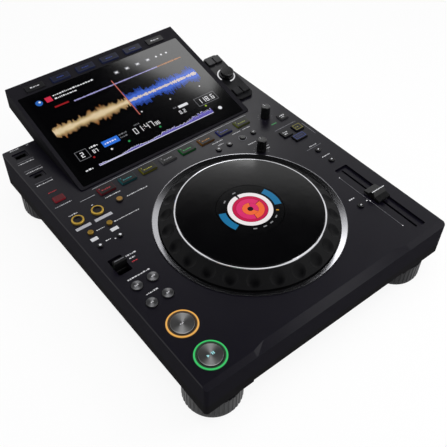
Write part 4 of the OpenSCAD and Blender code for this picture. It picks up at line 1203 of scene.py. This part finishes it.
@dataclass
class Buttons:
    """Keys, buttons, knobs, lever and fader, with their marks."""

    play: Pair = (-138.5, -200.007)
    cue: Pair = (-138.5, -156.807)
    disc_r: float = 11.8
    glow_r: Pair = (14.3, 15.8)
    memory: DotRow = DotRow("small left buttons", "b08d3e", -135.9, 12.1, -26.507, -15.0)
    browse: Triple = (136.6, 77.993, 80.0)
    browse_ring: tuple[Pair, float, float] = ((0, 44), 10.4, 12.0)
    hot_cue_lights: tuple[str, ...] = (
        "8a1f2a", "14696e", "7d7a16", "6e6e70", "1d7a34", "8a5a14", "2a2f80", "6c7420",
    )
    display_keys: int = 6
    display_key_pitch: float = 35.4
    display_key_face: Triple = (-1.4, 162.0, 1.8)
    sync_top: float = 79.0
    knobs: tuple[str, str] = ("jog_adjust_knob", "touch_adjust_knob")

    def key(self, node: str, name: str, cap: str, rim: str, *light: float) -> None:
        """Dresses a square key whose rim is lit.

        Args:
            node: The solid.
            name: Name of its finish.
            cap: Colour of its cap.
            rim: Colour of its light.
            light: Where the rim starts, how it glows, the share inside it and the key's tilt.
        """
        dress(node, RimLit(name, cap, rim, middle(node), half(node), *light))

    def keys(self) -> None:
        """Dresses the square keys, each with its own light."""
        for i, light in enumerate(self.hot_cue_lights, 1):
            self.key(f"hot_cue_{i}", f"pad light {i}", "0c0c0d", light, 0.82, 0.55, 0.03)
        for i in range(1, self.display_keys + 1):
            light = "1b1b1d" if i in (1, self.display_keys) else "1a2244"
            name = f"display key light {i}"
            self.key(f"screen_key_{i}", name, "0e0e10", light, 0.7, 0.5, 0.4, FACE_TILT)
        self.key("side_key", "side key light", "24070a", "86202a", 0.66, 0.5, 0.5)
        self.key("master_key", "master key light", "151516", "3c3c3e", 0.74, 0.5, 0.05)
        dress("sync_keys", Moulded("sync key plastic", "121214", 0.35, 0.3))
        dress("browse_keys", Moulded("pod key plastic", "1c1c1e", 0.3, 0.4))

    def rounds(self) -> None:
        """Dresses the round buttons."""
        face = {"pitch": 0.5, "spread": 0.9, "relief": 0.04, "across": True}
        for node, axis in (("play", self.play), ("cue", self.cue)):
            name = f"{node} button metal"
            # The wedge at 55 degrees is a painted highlight.
            metal = Turned(name, "f4f4f4", axis, 0.36, rim=self.disc_r, painted_highlight_heading=55, **face)
            dress(f"{node}_button", metal)
        face |= {"pitch": 0.4, "relief": 0.05}
        for node in ("track_search_back", "track_search_next", "search_back", "search_forward"):
            rim = half(node)[0] - 1.4
            # The wedge at 60 degrees is a painted highlight.
            metal = Turned(
                f"{node} metal", "dcdce0", middle(node)[:2], 0.34, rim=rim, painted_highlight_heading=60, **face
            )
            dress(node, metal)
        for node in ("loop_in_button", "loop_out_button"):
            ring = RingLit(f"{node} ring", "0e0a0c", "c9a545", middle(node)[:2], 5.2, 7.0, 0.16)
            dress(node, ring)
        axis = middle("loop_exit_button")[:2]
        ring = RingLit("loop exit ring", "1a140c", "a98346", axis, 0.3, 3.2, 0.1)
        dress("loop_exit_button", ring)
        dress("small_buttons_left", self.memory)
        dress("small_buttons_right", Moulded("small black buttons", "0e0e0f", 0.26, 0.4, 0.3, 0.06))

    def tall(self) -> None:
        """Dresses knobs, lever, fader and the power button."""
        for node in self.knobs:
            dress(node, Moulded("knob plastic", "0a0a0b", 0.2, 0.5, 0.4, 0.06))
        dress("browse_knob", Moulded("browse knob plastic", "09090a", 0.22, 0.5, 0.4, 0.06))
        steel = Moulded("shaft steel", "8a8a8d", 0.3, 0.5, 0.5, 0.1, 0.1, metallic=1.0)
        dress("browse_shaft", steel)
        dress("direction_lever", Moulded("lever plastic", "0b0b0c", 0.4, 0.25, 0.4))
        dress("tempo_slider", Moulded("fader cap plastic", "0e0e0f", 0.3, 0.35, 0.4))
        dress("power_button", Moulded("power button plastic", "1c1c1e", 0.4, 0.4))

    def lights(self) -> None:
        """Dresses the light rings round play and cue, and makes the browse knob's arcs."""
        colours = ("22c862", "f2b04c")
        rings = TwinRings("button light rings", *colours, self.play, self.cue, *self.glow_r)
        dress("light_rings", rings)
        arcs = Tiles(Plane(self.browse, FACE_TILT), -0.05, 0.25)
        arcs.arc(*self.browse_ring, 96, 200, Sign.BROWSE)
        arcs.arc(*self.browse_ring, 262, 356, Sign.BROWSE)
        arcs.build("browse_light", FIXED, "light_ring")

    def round_signs(self) -> None:
        """Makes the signs on play, cue and the search buttons."""
        t = Tiles(Plane((*self.play, middle("play_button")[2])))
        t.prism(np.array([[-3.9, -1.5], [-1.2, 0.0], [-3.9, 1.5]]), Sign.PLAY)
        t.boxes([1.2, 2.9], [2.2, 3.9], -1.5, 1.5, Sign.PLAY)
        t.build("play_sign", "play_button")
        t = Tiles(Plane((*self.cue, middle("cue_button")[2])))
        t.caption(-2.6, 2.8, 0.0, 1.5)
        t.build("cue_sign", "cue_button")
        for node, way in (
            ("track_search_back", -1), ("track_search_next", 1),
            ("search_back", -1), ("search_forward", 1),
        ):
            t = Tiles(Plane(middle(node)))
            for tip in (-0.8, 1.0):
                arrow = np.array([[-0.75, -1.0], [0.75, 0.0], [-0.75, 1.0]]) * [way, 1]
                arrow += [way * tip, 0]
                t.prism(arrow if way > 0 else arrow[::-1])
            if node.startswith("track"):
                t.boxes(way * 2.2 - 0.3, way * 2.2 + 0.3, -1.0, 1.0)
            t.build(f"{node}_sign", node)

    def key_signs(self) -> None:
        """Makes the signs on the pads and the keys over the display."""
        for i, light in enumerate(self.hot_cue_lights, 1):
            node = f"hot_cue_{i}"
            ink = Glow(f"pad sign {i}", light, strength=1.6, gloss=0.4)
            t = Tiles(Plane(middle(node)))
            t.caption(-6.2, 7.0, -1.2, 1.6, ink)
            t.boxes(-7.9, -6.9, 1.6, 3.2, ink)
            t.build(f"{node}_sign", node)
        shift, up, out = self.display_key_face
        for i in range(1, self.display_keys + 1):
            node = f"screen_key_{i}"
            x = (i - (self.display_keys + 1) / 2) * self.display_key_pitch + shift
            t = Tiles(Plane(DISPLAY_FACE.place(x, up, out), FACE_TILT))
            if i in (1, self.display_keys):
                t.caption(-6.0, 6.5, 0.0, 1.9)
            else:
                t.caption(-5.0, 5.5, 0.0, 1.5, Sign.KEY_BLUE)
            t.build(f"{node}_sign", node)

    def right_signs(self) -> None:
        """Makes the signs on the sync keys, the small right buttons and the master key."""
        t = Tiles(Plane((0.0, 0.0, self.sync_top)))
        t.caption(124.5, 131.5, -6.0, 1.8)
        t.caption(124.5, 130.5, -9.4, 1.8)
        t.frame(142.6, 153.4, -11.6, -2.4, 0.7, Sign.AMBER)
        t.caption(144.6, 151.4, -7.0, 1.8, Sign.AMBER)
        t.frame(130.2, 145.8, -25.4, -17.6, 0.9, Sign.BLUE)
        t.boxes(132.6, 143.4, -23.2, -19.8, Sign.FIELD)
        t.build("sync_key_lights", "sync_keys", "red_key")
        t = Tiles(Plane((0.0, 0.0, middle("small_buttons_right")[2])))
        for x in (44.0, 60.5, 98.0):
            t.boxes(x - 1.1, x + 1.1, 18.4, 19.6)
        for x, y in ((138.2, -54.007), (138.5, -76.507), (109.5, -151.007)):
            t.boxes(x - 0.9, x + 0.9, y - 0.7, y + 0.7)
        t.build("small_button_signs", "small_buttons_right")
        t = Tiles(Plane((0.0, 0.0, middle("master_key")[2])))
        t.caption(143.4, 151.6, 21.9, 1.7)
        t.caption(144.2, 150.8, 18.8, 1.7)
        t.build("master_key_sign", "master_key")

    def pointers(self) -> None:
        """Makes the lines on the knobs and the fader cap."""
        for node in self.knobs:
            x, y, z = middle(node)
            t = Tiles(Plane((x, y, z - 0.55)), -0.02, 0.08)
            t.boxes(-0.55, 0.55, 0.6, 5.2)
            t.build(f"{node}_line", node)
        for node, reach, half_line, ink in (
            ("tempo_slider", 9.6, 0.55, Print.WHITE),
            ("direction_lever", 5.6, 0.4, Print.GREY),
        ):
            t = Tiles(Plane(middle(node)))
            t.boxes(-reach, reach, -half_line, half_line, ink)
            t.build(f"{node}_line", node)

    def build(self) -> None:
        """Dresses all controls and makes their marks, each riding on its own button."""
        self.keys()
        self.rounds()
        self.tall()
        self.lights()
        self.round_signs()
        self.key_signs()
        self.right_signs()
        self.pointers()


@dataclass
class BackPrint:
    """Printed lines and words on the back panel."""

    y: float = 167.993
    z: float = 61.0
    # Left and right end as seen from behind, place up the panel and letter height.
    words: tuple[Row, ...] = (
        (-30, 20, 9.6, 1.4), (-58, -46, 9.8, 1.3), (-82, -71, 9.0, 1.3), (53, 63, 9.4, 1.3),
    )

    def build(self) -> None:
        """Makes the print as one piece."""
        t = Tiles(Plane((0.0, self.y, self.z), 90.0, 180.0))
        for word in self.words:
            t.caption(*word)
        t.boxes([-32.0, 21.4], [-31.6, 21.8], 7.5, 10.5, Print.GREY)
        t.arc((0, 0), 0.5, 0.9)
        t.build("back_print", FIXED)


@dataclass(frozen=True)
class Softbox:
    """A soft rectangular lamp, in millimetres and watts, that gloss shows only if mirrored."""

    name: str
    place: Triple
    aim: Triple
    size: Pair
    power: float
    mirrored: bool = False

    def build(self) -> None:
        """Makes the lamp, which the camera never sees."""
        data = bpy.data.lights.new(self.name, "AREA")
        data.shape = "RECTANGLE"
        data.size, data.size_y = self.size[0] * MM, self.size[1] * MM
        data.energy = self.power
        lamp = bpy.data.objects.new(self.name, data)
        lamp.visible_camera, lamp.visible_glossy = False, self.mirrored
        lamp.location = Vector(self.place) * MM
        lamp.rotation_mode = "QUATERNION"
        lamp.rotation_quaternion = (Vector(self.aim) - Vector(self.place)).to_track_quat("-Z", "Y")
        bpy.context.scene.collection.objects.link(lamp)


@dataclass
class Studio:
    """Camera, floor, white surroundings and lamps."""

    eye: Triple = (-339.647, -456.541, 593.702)
    yaw: float = -39.618
    pitch: float = -46.538
    roll: float = 1.404
    focal_pixels: float = 664.292
    image: int = 447
    sensor: float = 36.0
    floor_half: float = 6000.0
    floor_tones: Pair = (0.88, 0.91)
    floor_white: float = 0.9
    bright_to: float = 0.64
    dark_from: float = 0.71
    ceiling: float = 0.008
    ambient: float = 0.2
    ambient_colour: Triple = (0.96, 0.98, 1.0)
    lamps: tuple[Softbox, ...] = (
        Softbox("rear_softbox", (720, 1050, 980), (0, 0, 80), (1200, 560), 0.9),
        Softbox("display_strip", (277, 341, 367), (115, 206, 113), (200, 148), 0.19, True),
        Softbox("top_softbox", (-200, -210, 2000), (0, -30, 60), (1600, 1600), 29.0),
        Softbox("front_softbox", (640, -690, 1050), (0, -100, 60), (620, 460), 5.0),
        Softbox("front_glint", (154, -295, 343), (-10, -224, 66), (260, 120), 0.12, True),
    )

    def camera(self) -> None:
        """Makes the camera from its heading, its dip and its roll, in degrees."""
        yaw, pitch, roll = (math.radians(v) for v in (self.yaw, self.pitch, self.roll))
        level = math.cos(pitch)
        ahead = Vector((-math.sin(yaw) * level, math.cos(yaw) * level, math.sin(pitch)))
        side = ahead.cross(Vector((0, 0, 1))).normalized()
        top = side.cross(ahead)
        right = side * math.cos(roll) + top * math.sin(roll)
        up = top * math.cos(roll) - side * math.sin(roll)
        data = bpy.data.cameras.new("camera")
        data.sensor_width = self.sensor
        data.lens = self.focal_pixels / self.image * data.sensor_width
        data.clip_start, data.clip_end = 0.01, 50.0
        camera = bpy.data.objects.new("camera", data)
        turn = Matrix((right, up, -ahead)).transposed().to_4x4()
        camera.matrix_world = Matrix.Translation(Vector(self.eye) * MM) @ turn
        bpy.context.scene.collection.objects.link(camera)
        bpy.context.scene.camera = camera

    def floor(self) -> None:
        """Makes the pale floor: what is seen of it is mostly plain white, the rest shadow."""
        r = self.floor_half * MM
        mesh = bpy.data.meshes.new("floor")
        mesh.from_pydata([(-r, -r, 0), (r, -r, 0), (r, r, 0), (-r, r, 0)], [], [(0, 1, 2, 3)])
        floor = bpy.data.objects.new("floor", mesh)
        bpy.context.scene.collection.objects.link(floor)
        g = Graph("floor paint")
        darker, paler = ((tone,) * 3 for tone in self.floor_tones)
        g.give(Base_Color=g.shade(g.speckle(60.0), darker, paler))
        g.give(Roughness=0.9, Specular_IOR_Level=0.1)
        white = g.nodes.new("ShaderNodeEmission")
        white.inputs["Color"].default_value = (1, 1, 1, 1)
        mix = g.nodes.new("ShaderNodeMixShader")
        g.feed(g.times(seen_rays(g.nodes, g.links), self.floor_white), mix.inputs[0])
        g.feed(g.shader.outputs["BSDF"], mix.inputs[1])
        g.feed(white.outputs[0], mix.inputs[2])
        g.feed(mix.outputs[0], g.output.inputs["Surface"])
        mesh.materials.append(g.material)
        floor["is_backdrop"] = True

    def surroundings(self) -> None:
        """Makes the world: a white horizon under a dark ceiling, and a soft grey as light.

        What is seen or mirrored is white up to bright_to, the height of a
        direction of length 1, and falls smoothly to the ceiling's dark grey
        at dark_from.
        """
        world = bpy.data.worlds.new("studio")
        world.use_nodes = True
        bpy.context.scene.world = world
        nodes, links = world.node_tree.nodes, world.node_tree.links
        nodes.clear()
        output, way, axes, rise, seen, light, mix = (
            nodes.new(f"ShaderNode{kind}")
            for kind in (
                "OutputWorld", "TexCoord", "SeparateXYZ", "MapRange", "Background", "Background",
                "MixShader",
            )
        )
        links.new(way.outputs["Generated"], axes.inputs["Vector"])
        links.new(axes.outputs["Z"], rise.inputs["Value"])
        rise.interpolation_type = "SMOOTHSTEP"
        set_range(rise, self.bright_to, self.dark_from, 1.0, self.ceiling)
        links.new(rise.outputs["Result"], seen.inputs["Color"])
        light.inputs["Color"].default_value = (*self.ambient_colour, 1)
        light.inputs["Strength"].default_value = self.ambient
        links.new(seen_rays(nodes, links), mix.inputs[0])
        links.new(light.outputs[0], mix.inputs[1])
        links.new(seen.outputs[0], mix.inputs[2])
        links.new(mix.outputs[0], output.inputs["Surface"])

    def build(self) -> None:
        """Sets up the studio."""
        bpy.context.scene.view_settings.view_transform = "Standard"
        self.camera()
        self.floor()
        self.surroundings()
        for lamp in self.lamps:
            lamp.build()


def main() -> None:
    """Builds the scene piece by piece."""
    logging.basicConfig(level=logging.INFO, format="%(name)s: %(message)s")
    FRAME.update(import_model())
    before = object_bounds()
    Studio().build()
    Housing().dress()
    JogWheel().build()
    DisplayPicture().build()
    DeckPrint().build()
    Buttons().build()
    BackPrint().build()
    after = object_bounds()
    growth = max(max(abs(a - b) for a, b in zip(p, q)) for p, q in zip(before, after))
    log.info("box grew by %.2f mm", growth / MM)


if __name__ == "__main__":
    main()
